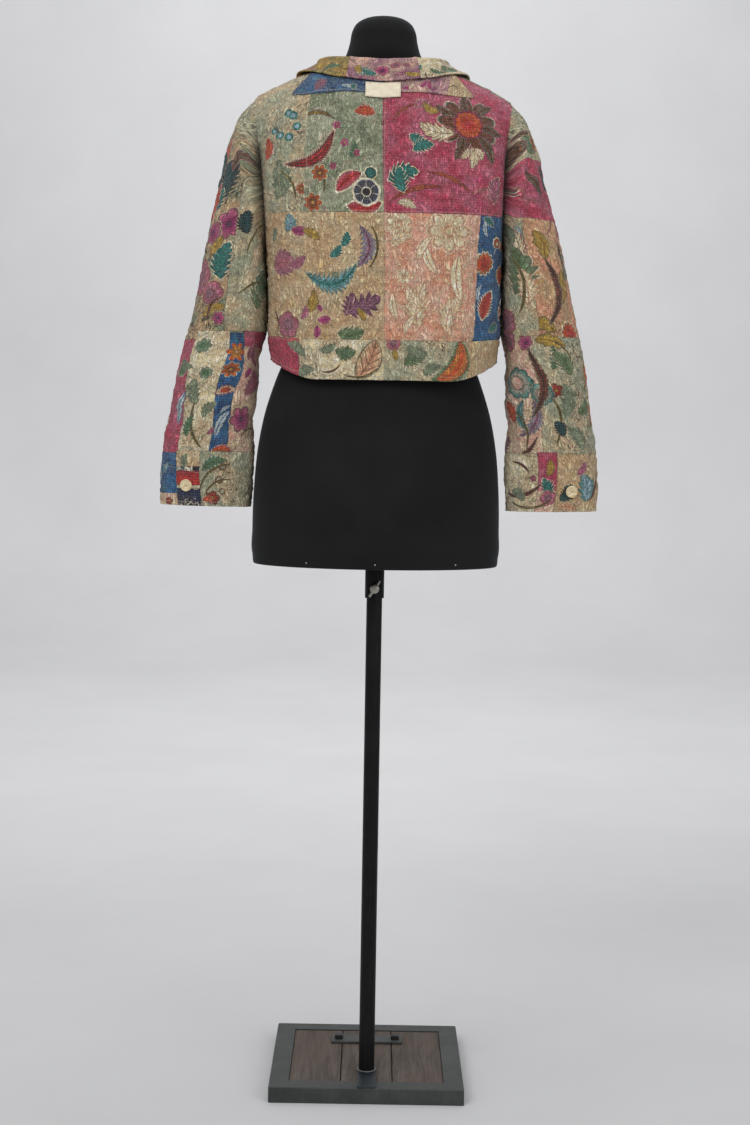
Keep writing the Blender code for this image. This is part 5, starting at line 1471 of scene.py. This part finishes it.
# %% [markdown]
# ## Collar
# The collar stands a finger's width, rolls over and falls. One curve is its section, which is
# swept round the neckline and kept clear of the cloth that it lies over.

# %% Collar
COLLAR_ROLL, COLLAR_CLEAR, COLLAR_PATCH_COLUMN = 0.0045, 0.0050, 2
COLLAR_DROP = 0.0045        # how far the worn cloth sags below the solid's crisp fold


def collar_section(angle):
    """Outer points of the folded collar at one angle, from the stand's foot to the fall."""
    stand, fall_out, fall_up = read(COLLAR_ROWS, angle)
    stand, fall_up = stand - COLLAR_DROP, fall_up - 2 * COLLAR_DROP
    foot, up = neckline_point(angle), Vector((0, 0, 1))
    turn = math.radians(angle)
    reach = NECK_BACK if angle < 90 else NECK_FRONT
    out = Vector((math.sin(turn) / NECK_HALF_WIDTH, -math.cos(turn) / reach, 0)).normalized()
    inner = foot + up * (SEAM_GAP + WALL * 0.3) - out * WALL * 0.2
    roll_in = foot + up * (stand - COLLAR_ROLL) - out * 0.001
    fall = foot + out * fall_out + up * fall_up
    middle = foot + out * (COLLAR_ROLL - 0.001) + up * (stand - COLLAR_ROLL)
    points = [inner, inner.lerp(roll_in, 0.5), roll_in]
    for degrees in (135, 90, 45):
        bend = math.radians(degrees)
        points.append(middle + out * COLLAR_ROLL * math.cos(bend)
                      + up * COLLAR_ROLL * math.sin(bend))
    roll_out = middle + out * COLLAR_ROLL
    return points + [roll_out, roll_out.lerp(fall, 0.34) + up * 0.0015,
                     roll_out.lerp(fall, 0.68) + up * 0.001, fall]


below = [(Vector(p), Vector(n)) for node in ("back_yoke_left", "back_yoke_right", "front_left",
                                             "front_right", "front_band_over")
         for p, n in zip(patch_points[node][0].reshape(-1, 3).tolist(),
                         patch_points[node][1].reshape(-1, 3).tolist())
         if p[2] > 1.42 and abs(p[0]) < 0.17]
nearest = KDTree(len(below))
for index, (point, _) in enumerate(below):
    nearest.insert(point, index)
nearest.balance()


def clear_of_body(point):
    """Move a point of the collar out until it lies clear of the cloth below it."""
    near, normal = below[nearest.find(point)[1]]
    short = COLLAR_CLEAR - (point - near).dot(normal)
    return point + normal * short if short > 0 else point


half = [neckline_angle(BACK, share) for share in BACK_SHARES[:NECK_COLUMN]]
half += [neckline_angle(FRONT, share) for share in reversed(FRONT_SHARES) if share <= NECK_SHARE]
collar = []
for angle in [-angle for angle in reversed(half[1:])] + half:
    side = -1 if angle < 0 else 1
    line = [Vector((side * p.x, p.y, p.z)) for p in collar_section(abs(angle))]
    collar.append([tuple(p) for p in line[:6] + [clear_of_body(p) for p in line[6:]]])
collar = np.swapaxes(np.array(collar), 0, 1)
centre = len(half) - 1
first, second = centre - COLLAR_PATCH_COLUMN, centre + COLLAR_PATCH_COLUMN
run = runs(collar[5:6], 1)
COLLAR_PATCHES = (("collar_left", 0, first, (0, 0, 0, SEWN)),
                  ("collar_middle", first, second, (0, 0, SEWN, SEWN)),
                  ("collar_right", second, 2 * centre, (0, 0, SEWN, 0)))
for node, start, stop, ditches in COLLAR_PATCHES:
    points, down, across = fine_grid(collar, (0, 9), (start, stop), step=0.0022)
    inward = np.cross(np.gradient(points, axis=0), np.gradient(points, axis=1))
    normal = -inward / np.linalg.norm(inward, axis=2, keepdims=True)
    size = cut_size(points)
    moved = relief(points, normal, down, across, ditches, ())
    offset = runs(collar, 1)[start] - runs(collar, 1)[centre]
    uv = np.dstack(np.meshgrid(across + offset, down))
    piece = cloth_piece(node + "_cloth", moved, uv, normal, -WALL, finishes[node])
    piece.modifiers["wall"].thickness, piece.modifiers["wall"].offset = WALL, -1.0
    declare(piece, node, size)
    patch_points[node] = (moved, normal, down, across)
print("collar, from its foot to its edge:", round(float(down[-1]), 3))

# %% [markdown]
# ## Strip and label
# A narrow strip finishes the back neckline and a blank cotton label is sewn over it. Both lie on
# the yoke, so their points are found on the yoke's own surface and lifted by what lies below.

# %% Strip and label
def yoke_point(side, share, level):
    """Point and outward normal of the back yoke."""
    step = 2e-3
    share = max(share, 2 * step)
    level = min(level, 2 - 2 * step)
    here = [Vector(on_side(side, body_half(BACK, share + a, level + b)))
            for a, b in ((0, 0), (step, 0), (-step, 0), (0, step), (0, -step))]
    normal = (here[1] - here[2]).cross(here[3] - here[4]).normalized()
    return here[0], normal if normal.dot(Vector((0, -1, 0.5))) > 0 else -normal


def level_at(z):
    """Level of the centre back at a height above the chest, by halving."""
    low, high = 1.0, 2.0
    for _ in range(20):
        middle = (low + high) / 2
        low, high = (middle, high) if body_half(BACK, 0, middle).z < z else (low, middle)
    return low


def share_at(x, level):
    """Share whose column passes a distance from the centre back, by halving."""
    low, high = 0.0, NECK_SHARE
    for _ in range(20):
        middle = (low + high) / 2
        low, high = (middle, high) if body_half(BACK, middle, level).x < x else (low, middle)
    return low


def trim_grid(places, lift):
    """Grid of points on the yoke from rows of (side, share, level), lifted off it."""
    found = [[yoke_point(*place) for place in row] for row in places]
    return np.array([[tuple(point + normal * lift) for point, normal in row] for row in found])


shares = list(np.linspace(0.0, 0.60, 16))
columns = [(-1, s) for s in reversed(shares[1:])] + [(1, s) for s in shares]
places = []
for t in np.linspace(0, 1, 6):
    places.append([])
    for side, share in columns:
        low, high = read(STRIP_ROWS, float(share))
        places[-1].append((side, float(share), float(low + (min(high, 1.985) - low) * t)))
strip = trim_grid(places, STRIP_LIFT + TRIM_WALL)
label_levels = np.linspace(level_at(LABEL_BOTTOM), level_at(LABEL_TOP), 5)
places = []
for level in label_levels:
    wide = share_at(LABEL_WIDTH / 2, float(level))
    places.append([(-1, wide * k, float(level)) for k in (1.0, 0.5)] + [(1, 0.0, float(level))]
                  + [(1, wide * k, float(level)) for k in (0.5, 1.0)])
label = trim_grid(places, STRIP_LIFT + 2 * TRIM_WALL + LAY_GAP)

cotton, tree, shader = new_finish("label_cotton", 0.82, sheen=0.1, specular=0.3)
spot = add(tree, "ShaderNodeUVMap", uv_map="cut").outputs[0]
threads = [sums(tree, "PINGPONG", times(tree, add(
    tree, "ShaderNodeSeparateXYZ", {0: spot}).outputs[k], 1600.0), 0.5) for k in (0, 1)]
cloth = sums(tree, "ADD", *threads)
tone = lay(tree, edge(tree, mottle(tree, spot, 90), 0.3, 0.7), linear(206, 196, 172),
           linear(222, 214, 192))
tree.links.new(lay(tree, times(tree, cloth, 0.16), tone, INKS["tan"]),
               shader.inputs["Base Color"])
raise_from(tree, shader, cloth, 0.0002, 0.6)
finishes["label"] = cotton

for node, grid, ditches in (("neck_strip", strip, (0, 0, 0, 0)), ("label", label, (0, 0, 0, 0))):
    fine_step = 0.0022 if node == "neck_strip" else 0.0015
    points, down, across = fine_grid(grid, (0, len(grid) - 1), (0, grid.shape[1] - 1),
                                     step=fine_step)
    normal = normals_of(points, BODY_MIDDLE)
    size = cut_size(points)
    moved = relief(points, normal, down, across, ditches, ())
    uv = np.dstack(np.meshgrid(across - across[-1] / 2, down))
    piece = cloth_piece(node + "_cloth", moved, uv, normal, TRIM_WALL, finishes[node])
    declare(piece, node, size)
    patch_points[node] = (moved, normal, down, across)
print("label:", cut_rows["label"])

# %% [markdown]
# ## Topstitching
# Hems, seams and the label show rows of thread. Each stitch is a small bar that follows the
# cloth, and one mesh holds all the stitches of a run. A line of bump would be cheaper, but it
# vanishes in a close view.

# %% Threads
STITCH, STITCH_GAP, THREAD = 0.0022, 0.0011, 0.00022

thread_finish, tree, shader = new_finish("thread", 0.7, sheen=0.2)
place = add(tree, "ShaderNodeTexCoord").outputs["Object"]
tree.links.new(lay(tree, mottle(tree, place, 900), linear(150, 136, 108), linear(206, 194, 166)),
               shader.inputs["Base Color"])
thread_mesh = bmesh.new()


def sew(points, normals):
    """Stitches along a line of points on the cloth."""
    length = np.concatenate(([0.0], np.cumsum(np.linalg.norm(np.diff(points, axis=0), axis=1))))
    at = 0.001
    while at + STITCH < length[-1]:
        ends = [np.array([np.interp(at + d, length, points[:, k]) for k in range(3)])
                for d in (0, STITCH)]
        out = Vector(normals[int(np.searchsorted(length, at))])
        centre = Vector((ends[0] + ends[1]) / 2) + out * THREAD * 0.6
        along = Vector(ends[1] - ends[0]).normalized()
        side = out.cross(along).normalized()
        turn = Matrix((along, side, along.cross(side))).transposed().to_4x4()
        size = Matrix.Diagonal((STITCH, THREAD * 2, THREAD * 2, 1))
        bmesh.ops.create_cube(thread_mesh, size=1.0,
                              matrix=Matrix.Translation(centre) @ turn @ size)
        at += STITCH + STITCH_GAP


def line_on(node, row=None, column=None):
    """Points and normals of a patch along one of its rows or columns, by distance from an edge."""
    points, normal, down, across = patch_points[node]
    if row is not None:
        i = int(np.argmin(np.abs(down - (row if row >= 0 else down[-1] + row))))
        return points[i], normal[i]
    j = int(np.argmin(np.abs(across - (column if column >= 0 else across[-1] + column))))
    return points[:, j], normal[:, j]


TOPSTITCH = (
    # node, row or column, distance from the first edge, or from the last if negative
    ("back_yoke_left", "row", .004), ("back_yoke_right", "row", .004),
    ("back_yoke_left", "column", .1205), ("back_yoke_left", "column", .1605),
    ("back_yoke_right", "column", .004), ("back_lower_left", "column", .004),
    ("back_lower_middle", "column", -.004), ("hem_back_left", "row", -.004),
    ("hem_back_right", "row", -.004), ("hem_back_left", "row", .006),
    ("hem_back_right", "row", .006), ("hem_front_left", "row", .006),
    ("hem_front_right", "row", .006),
    ("hem_front_left", "row", -.004), ("hem_front_right", "row", -.004),
    ("front_band_over", "column", .003), ("front_band_over", "column", -.003),
    ("front_left", "column", .004), ("front_right", "column", .004),
    ("neck_strip", "row", .002), ("label", "row", .0015), ("label", "row", -.0015),
    ("label", "column", .0015), ("label", "column", -.0015),
    ("collar_left", "row", -.005), ("collar_middle", "row", -.005), ("collar_right", "row", -.005),
)
for node, axis, offset in TOPSTITCH:
    sew(*line_on(node, **{axis: offset}))
for node, (points, normal, uv) in sleeve_patches.items():
    if "_cuff_" in node:
        sew(points[-4], normal[-4])
        sew(points[4], normal[4])
thread_data = bpy.data.meshes.new("topstitching")
thread_mesh.to_mesh(thread_data)
thread_mesh.free()
thread_data.materials.append(thread_finish)
threads_piece = placed("topstitching", thread_data)
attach(threads_piece, "form")
print("stitches:", len(thread_data.polygons) // 6)

# %% [markdown]
# ## Turned pieces
# Buttons, the pole and the screw are round, so half of their section is drawn and spun. A spin
# that goes all the way round merges its seam.

# %% Spinning a profile
def spun(name, profile, steps=48):
    """Mesh of a solid of revolution about Z from (radius, height) pairs."""
    mesh = bmesh.new()
    verts = [mesh.verts.new((radius, 0, height)) for radius, height in profile]
    edges = [mesh.edges.new(pair) for pair in zip(verts, verts[1:])]
    bmesh.ops.spin(mesh, geom=verts + edges, cent=(0, 0, 0), axis=(0, 0, 1),
                   angle=2 * math.pi, steps=steps, use_merge=True)
    bmesh.ops.remove_doubles(mesh, verts=mesh.verts, dist=1e-6)
    bmesh.ops.recalc_face_normals(mesh, faces=mesh.faces)
    return mesh


def finished(name, mesh, finish, body, replaces=(), angle=40):
    """Object from a mesh, smooth but for its sharp edges, riding on its body."""
    data = bpy.data.meshes.new(name)
    mesh.to_mesh(data)
    mesh.free()
    data.shade_smooth()
    data.set_sharp_from_angle(angle=math.radians(angle))
    data.materials.append(finish)
    thing = placed(name, data)
    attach(thing, body)
    if replaces:
        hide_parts(*replaces)
    return thing


horn, tree, shader = new_finish("button_horn", 0.32, specular=0.6)
place = add(tree, "ShaderNodeTexCoord").outputs["Object"]
grain = mottle(tree, stretch(tree, place, 160, 160, 420), 1.0, 4.0, 0.6, 0.8)
tone = lay(tree, edge(tree, grain, 0.35, 0.7), linear(222, 208, 172), linear(186, 160, 112))
tree.links.new(tone, shader.inputs["Base Color"])
raise_from(tree, shader, grain, 0.0001, 0.4)

# %% Buttons
BUTTON_PROFILE = ((0.0, 0.0), (0.0074, 0.0), (0.0088, 0.0005), (0.0094, 0.0013), (0.0094, 0.0021),
                  (0.0090, 0.0027), (0.0083, 0.0030), (0.0076, 0.0029), (0.0070, 0.0024),
                  (0.0062, 0.0021), (0.0034, 0.0020), (0.0026, 0.0017), (0.0, 0.0016))
CROSS_LENGTH, CROSS_WIDTH, CROSS_DEEP, CROSS_HEIGHT = 0.004608, 0.0007, 0.0006, 0.0019


def sew_button(name, node):
    """Button in the place of its solid: turned, and sewn on with crossed thread."""
    solid = frame["nodes"][node]
    corners = np.array([v.co for v in solid.data.vertices])
    middle = corners.mean(axis=0)
    _, _, axes = np.linalg.svd(corners - middle)
    out = Vector(axes[2])
    below_it = Vector(middle) - Vector((BODY_MIDDLE if "front" in node else
                                        (math.copysign(0.26, middle[0]), 0, middle[2])))
    out = out if out.dot(below_it) > 0 else -out
    heights = (corners - middle) @ np.array(out)
    foot = Vector(middle) + out * float(heights.min())
    turn = Matrix.Translation(foot) @ Vector(
        (0, 0, 1)).rotation_difference(out).to_matrix().to_4x4()
    mesh = spun(name, BUTTON_PROFILE)
    bmesh.ops.transform(mesh, matrix=turn, verts=mesh.verts)
    finished(name, mesh, horn, "form", (node,))
    threads = bmesh.new()
    for degrees in (45, 135):
        size = Matrix.Diagonal((CROSS_LENGTH, CROSS_WIDTH, CROSS_DEEP, 1))
        spin = Matrix.Rotation(math.radians(degrees), 4, "Z")
        bmesh.ops.create_cube(threads, size=1.0, matrix=turn @ Matrix.Translation(
            (0, 0, CROSS_HEIGHT)) @ spin @ size)
    finished(name + "_thread", threads, thread_finish, "form")


for node in [f"front_button_{k}" for k in range(1, 6)] + ["cuff_button_left", "cuff_button_right"]:
    sew_button(node + "_turned", node)
print("buttons: 7")

# %% [markdown]
# ## Dress form
# The form is a padded shell under black jersey, smooth and a little dusty. Its sections are
# ovals, so a grid is bent round them and closed. The knit is too fine to model and stays bump.

# %% Dress form
FORM_ROWS = (
    # z, half_width, back, front
    (0.824, 0.1830, 0.109, 0.101),
    (0.828, 0.1885, 0.114, 0.106),
    (0.838, 0.1920, 0.118, 0.110),
    (0.880, 0.1930, 0.121, 0.111),
    (0.942, 0.1916, 0.122, 0.110),
    (1.014, 0.1850, 0.116, 0.108),
    (1.058, 0.1765, 0.108, 0.105),
    (1.111, 0.1600, 0.095, 0.100),
    (1.160, 0.1410, 0.084, 0.094),
    (1.200, 0.1310, 0.080, 0.092),
    (1.250, 0.1330, 0.083, 0.098),
    (1.300, 0.1420, 0.089, 0.112),
    (1.360, 0.1530, 0.096, 0.124),
    (1.400, 0.1590, 0.099, 0.125),
    (1.440, 0.1640, 0.099, 0.117),
    (1.480, 0.1680, 0.094, 0.102),
    (1.510, 0.1710, 0.086, 0.088),
    (1.535, 0.1710, 0.073, 0.072),
    (1.550, 0.1680, 0.062, 0.060),
    (1.562, 0.1620, 0.054, 0.052),
    (1.5705, 0.1540, 0.050, 0.048),
    (1.5795, 0.1400, 0.046, 0.045),
    (1.5877, 0.1200, 0.044, 0.043),
    (1.5924, 0.1050, 0.044, 0.043),
    (1.5960, 0.0850, 0.047, 0.047),
    (1.6050, 0.0680, 0.050, 0.051),
    (1.620, 0.0590, 0.052, 0.053),
    (1.640, 0.0530, 0.050, 0.051),
    (1.657, 0.0500, 0.049, 0.049),
    (1.668, 0.0445, 0.044, 0.044),
    (1.676, 0.0330, 0.033, 0.033),
    (1.680, 0.0180, 0.018, 0.018),
)
FORM_SIDES = 96
FORM_BORE = 0.0158
form_at = np.concatenate(([0.0], np.cumsum(np.linalg.norm(np.diff(
    np.array(FORM_ROWS)[:, :2], axis=0), axis=1))))
form_table = curve(form_at, np.array(FORM_ROWS, dtype=float), np.linspace(0, form_at[-1], 260))
form_table[:, 1:] = np.maximum(form_table[:, 1:], 0.0005)
LOWER_EDGE = ((0.8250, 0.1740, 0.1020, 0.0940), (0.8240, 0.1870, 0.1135, 0.1055),
              (0.8242, 0.1892, 0.1152, 0.1072), (0.8250, 0.1904, 0.1163, 0.1083),
              (0.8265, 0.1911, 0.1169, 0.1089), (0.8300, 0.1916, 0.1175, 0.1095))
ring_rows = [(0.8262, FORM_BORE, FORM_BORE, FORM_BORE), (0.8256, 0.09, 0.06, 0.06)]
ring_rows += list(LOWER_EDGE) + [row for row in form_table.tolist() if row[0] > 0.836]
ring_rows.append((1.6806, 0.006, 0.006, 0.006))
form_mesh = bmesh.new()
bmesh.ops.create_grid(form_mesh, x_segments=FORM_SIDES, y_segments=len(ring_rows) - 1, size=0.5)
for vert in form_mesh.verts:
    z, half_width, back, front = ring_rows[round((vert.co.y + 0.5) * (len(ring_rows) - 1))]
    turn = 2 * math.pi * (vert.co.x + 0.5)
    blend = smooth(0.5 + 2.2 * math.cos(turn))
    depth = back * blend + front * (1 - blend) if abs(math.cos(turn)) < 0.3 else (
        back if math.cos(turn) > 0 else front)
    vert.co = (half_width * math.sin(turn), -depth * math.cos(turn), z)
bmesh.ops.remove_doubles(form_mesh, verts=form_mesh.verts, dist=1e-5)
bmesh.ops.holes_fill(form_mesh, edges=[e for e in form_mesh.edges if e.is_boundary
                                       and e.verts[0].co.z > 1.6], sides=200)
bmesh.ops.recalc_face_normals(form_mesh, faces=form_mesh.faces)

jersey, tree, shader = new_finish("black_jersey", 0.88, sheen=0.12, specular=0.18)
shader.inputs["Sheen Roughness"].default_value = 0.4
shader.inputs["Sheen Tint"].default_value = (0.75, 0.80, 0.9, 1.0)
place = add(tree, "ShaderNodeTexCoord").outputs["Object"]
spread = edge(tree, mottle(tree, place, 7.0, 4.0), 0.3, 0.75)
lint = edge(tree, mottle(tree, place, 420, 2.0), 0.70, 0.78)
colour = lay(tree, spread, linear(17, 17, 17), linear(25, 25, 25))
colour = lay(tree, times(tree, lint, 0.25), colour, linear(92, 90, 88))
tree.links.new(colour, shader.inputs["Base Color"])
rows = mottle(tree, stretch(tree, place, 900, 900, 1500), 1.0, 2.0, 0.6)
raise_from(tree, shader, rows, 0.0004, 0.5)
finished("jersey_form", form_mesh, jersey, "form", ("dress_form",), angle=60)

PINS = (-0.104, 0.0, 0.122)     # across, along the lower edge behind
pin_mesh = bmesh.new()
for x in PINS:
    y = -0.1185 * math.sqrt(max(1 - (x / 0.192) ** 2, 0))
    bmesh.ops.create_icosphere(pin_mesh, subdivisions=2, radius=0.0016,
                               matrix=Matrix.Translation((x, y, 0.832)))
pin_steel, tree, shader = new_finish("pin_heads", 0.3, metallic=1.0)
place = add(tree, "ShaderNodeTexCoord").outputs["Object"]
tree.links.new(lay(tree, mottle(tree, place, 300), linear(120, 120, 120), linear(190, 190, 186)),
               shader.inputs["Base Color"])
finished("pin_heads", pin_mesh, pin_steel, "form")
print("form rings:", len(ring_rows))

# %% [markdown]
# ## Stand
# The stand is welded from square and round steel, blackened and waxed, with old planks let into
# the foot. Flat steel parts keep their solids and only get a finish. The pole, the sleeve tube
# and the screw are spun again with more sides, because a coarse cylinder shows its facets.

# %% Steel and wood
def steel(name, dark, pale, roughness, metallic, worn):
    """Blackened steel: mill scale in clouds, brushed along, rubbed where the noise says."""
    made, tree, shader = new_finish(name, roughness, metallic=metallic)
    place = add(tree, "ShaderNodeTexCoord").outputs["Object"]
    clouds = edge(tree, mottle(tree, place, 22, 5.0, 0.65), 0.3, 0.75)
    brushed = mottle(tree, stretch(tree, place, 420, 420, 30), 1.0, 3.0)
    colour = lay(tree, clouds, dark, pale)
    colour = lay(tree, times(tree, edge(tree, brushed, 0.55, 0.75), worn), colour,
                 linear(120, 122, 122))
    tree.links.new(colour, shader.inputs["Base Color"])
    rough = add(tree, "ShaderNodeMapRange", {"Value": clouds, "To Min": roughness - 0.08,
                                             "To Max": roughness + 0.14}).outputs[0]
    tree.links.new(rough, shader.inputs["Roughness"])
    raise_from(tree, shader, sums(tree, "ADD", clouds, times(tree, brushed, 0.5)),
               0.0004, 0.4)
    return made


foot_steel = steel("foot_steel", linear(50, 52, 51), linear(68, 70, 69), 0.52, 0.35, 0.15)
pole_steel = steel("pole_steel", linear(9, 9, 9), linear(19, 19, 19), 0.46, 0.2, 0.04)
pole_steel.node_tree.nodes["Principled BSDF"].inputs["Specular IOR Level"].default_value = 0.2
bar_steel = steel("bar_steel", linear(44, 49, 54), linear(60, 66, 72), 0.45, 0.5, 0.15)
bolt_steel = steel("bolt_steel", linear(24, 24, 24), linear(40, 40, 40), 0.5, 0.4, 0.05)
dull_silver = steel("dull_silver", linear(140, 138, 126), linear(176, 174, 162), 0.38, 0.9, 0.3)

plank_wood, tree, shader = new_finish("old_planks", 0.82, specular=0.3)
place = add(tree, "ShaderNodeTexCoord").outputs["Object"]
fibre = mottle(tree, stretch(tree, place, 150, 9, 60), 1.0, 6.0, 0.6, 0.6)
boards = mottle(tree, stretch(tree, place, 11, 5, 5), 1.0, 2.0)
rings = sums(tree, "PINGPONG", times(tree, mottle(
    tree, stretch(tree, place, 14, 3, 14), 1.0, 2.0, 0.5, 1.0), 9.0), 0.5)
colour = lay(tree, edge(tree, fibre, 0.3, 0.7), linear(70, 63, 57), linear(98, 88, 80))
colour = lay(tree, times(tree, edge(tree, boards, 0.4, 0.7), 0.6), colour,
             linear(92, 79, 71))
colour = lay(tree, times(tree, edge(tree, rings, 0.10, 0.0), 0.35), colour,
             linear(58, 50, 46))
tree.links.new(colour, shader.inputs["Base Color"])
raise_from(tree, shader, sums(tree, "ADD", fibre, times(tree, rings, 0.4)), 0.0010, 0.8)

KEPT = {"foot_frame": foot_steel, "pole_bar": bar_steel, "strap": foot_steel,
        "bolt_left": bolt_steel, "bolt_right": bolt_steel, "plank_1": plank_wood,
        "plank_2": plank_wood, "plank_3": plank_wood}
for node, finish in KEPT.items():
    solid = frame["nodes"][node]
    if not solid.data.materials:
        solid.data.materials.append(finish)
    for slot in solid.material_slots:
        slot.material = finish
print("kept solids:", len(KEPT))

# %% Pole, tube and screw
POLE_RADIUS, POLE_TOP, POLE_FOOT = 0.01225, 1.250, 0.0324
pole_mesh = spun("pole", (
    (0, POLE_FOOT), (POLE_RADIUS, POLE_FOOT), (POLE_RADIUS, POLE_TOP - 0.001),
    (POLE_RADIUS - 0.001, POLE_TOP), (0, POLE_TOP)), 64)
finished("round_pole", pole_mesh, pole_steel, "stand", ("pole",))

TUBE_RADIUS, TUBE_BORE, TUBE_BOTTOM, TUBE_TOP = 0.0150, 0.0129, 0.772, 1.460
tube_mesh = spun("tube", ((TUBE_BORE, TUBE_BOTTOM), (TUBE_RADIUS - 0.0004, TUBE_BOTTOM),
                          (TUBE_RADIUS, TUBE_BOTTOM + 0.0004), (TUBE_RADIUS, TUBE_TOP),
                          (TUBE_BORE, TUBE_TOP), (TUBE_BORE, TUBE_BOTTOM)), 64)
finished("round_tube", tube_mesh, pole_steel, "form", ("sleeve_tube",))

SCREW_Z, SCREW_HEAD, HEAD_NEAR, HEAD_FAR = 0.788, 0.0072, -0.019, -0.029
SCREW_BAR, SCREW_BAR_LENGTH, SCREW_TILT = 0.0021, 0.030, math.radians(57.5)
screw_mesh = spun("screw", ((0, 0), (0.0058, 0), (0.0070, 0.0009), (SCREW_HEAD, 0.0018),
                            (SCREW_HEAD, 0.0084), (0.0066, 0.0100), (0.0030, 0.0100),
                            (0.0030, 0.0163), (0, 0.0163)), 48)
bmesh.ops.transform(screw_mesh, verts=screw_mesh.verts, matrix=Matrix.Translation(
    (0, HEAD_FAR, SCREW_Z)) @ Matrix.Rotation(-math.pi / 2, 4, "X"))
bar = bmesh.ops.create_cone(
    screw_mesh, cap_ends=True, segments=24, radius1=SCREW_BAR, radius2=SCREW_BAR,
    depth=SCREW_BAR_LENGTH, matrix=Matrix.Translation((0, (HEAD_NEAR + HEAD_FAR) / 2, SCREW_Z))
    @ Matrix.Rotation(math.pi / 2 - SCREW_TILT, 4, "Y"))
rims = [e for e in {e for v in bar["verts"] for e in v.link_edges} if e.calc_face_angle(0) > 1.2]
bmesh.ops.bevel(screw_mesh, geom=rims, offset=0.0005, segments=2, profile=0.5, affect="EDGES",
                material=-1)
finished("clamp_screw_turned", screw_mesh, dull_silver, "clamp_screw",
         ("clamp_screw",))

# %% [markdown]
# The weld between the pole and the flat bar shows as a pale rough bead. A ring spun from a small
# circle and pushed about by noise has that look.

# %% Weld
weld_mesh = spun("weld", [(POLE_RADIUS + 0.0013 + 0.0015 * math.cos(a), POLE_FOOT + 0.0013
                           + 0.0013 * math.sin(a)) for a in np.linspace(0, 2 * math.pi, 9)], 72)
for vert in weld_mesh.verts:
    out = Vector((vert.co.x, vert.co.y, 0)).normalized()
    vert.co += out * 0.0009 * noise.noise(vert.co * 420) + Vector((0, 0, 0.0004)) * noise.noise(
        vert.co * 600)
weld_finish = steel("weld_bead", linear(86, 88, 86), linear(132, 134, 130), 0.5, 0.6, 0.4)
finished("weld_bead", weld_mesh, weld_finish, "stand", angle=80)

# %% [markdown]
# ## Cut sizes
# The width and length that each piece of cloth was cut to are printed. The dressed model must
# keep the solid's box. Both boxes are written down, then the frame checks every piece.

# %% Finish
print("cut sizes:", cut_rows)
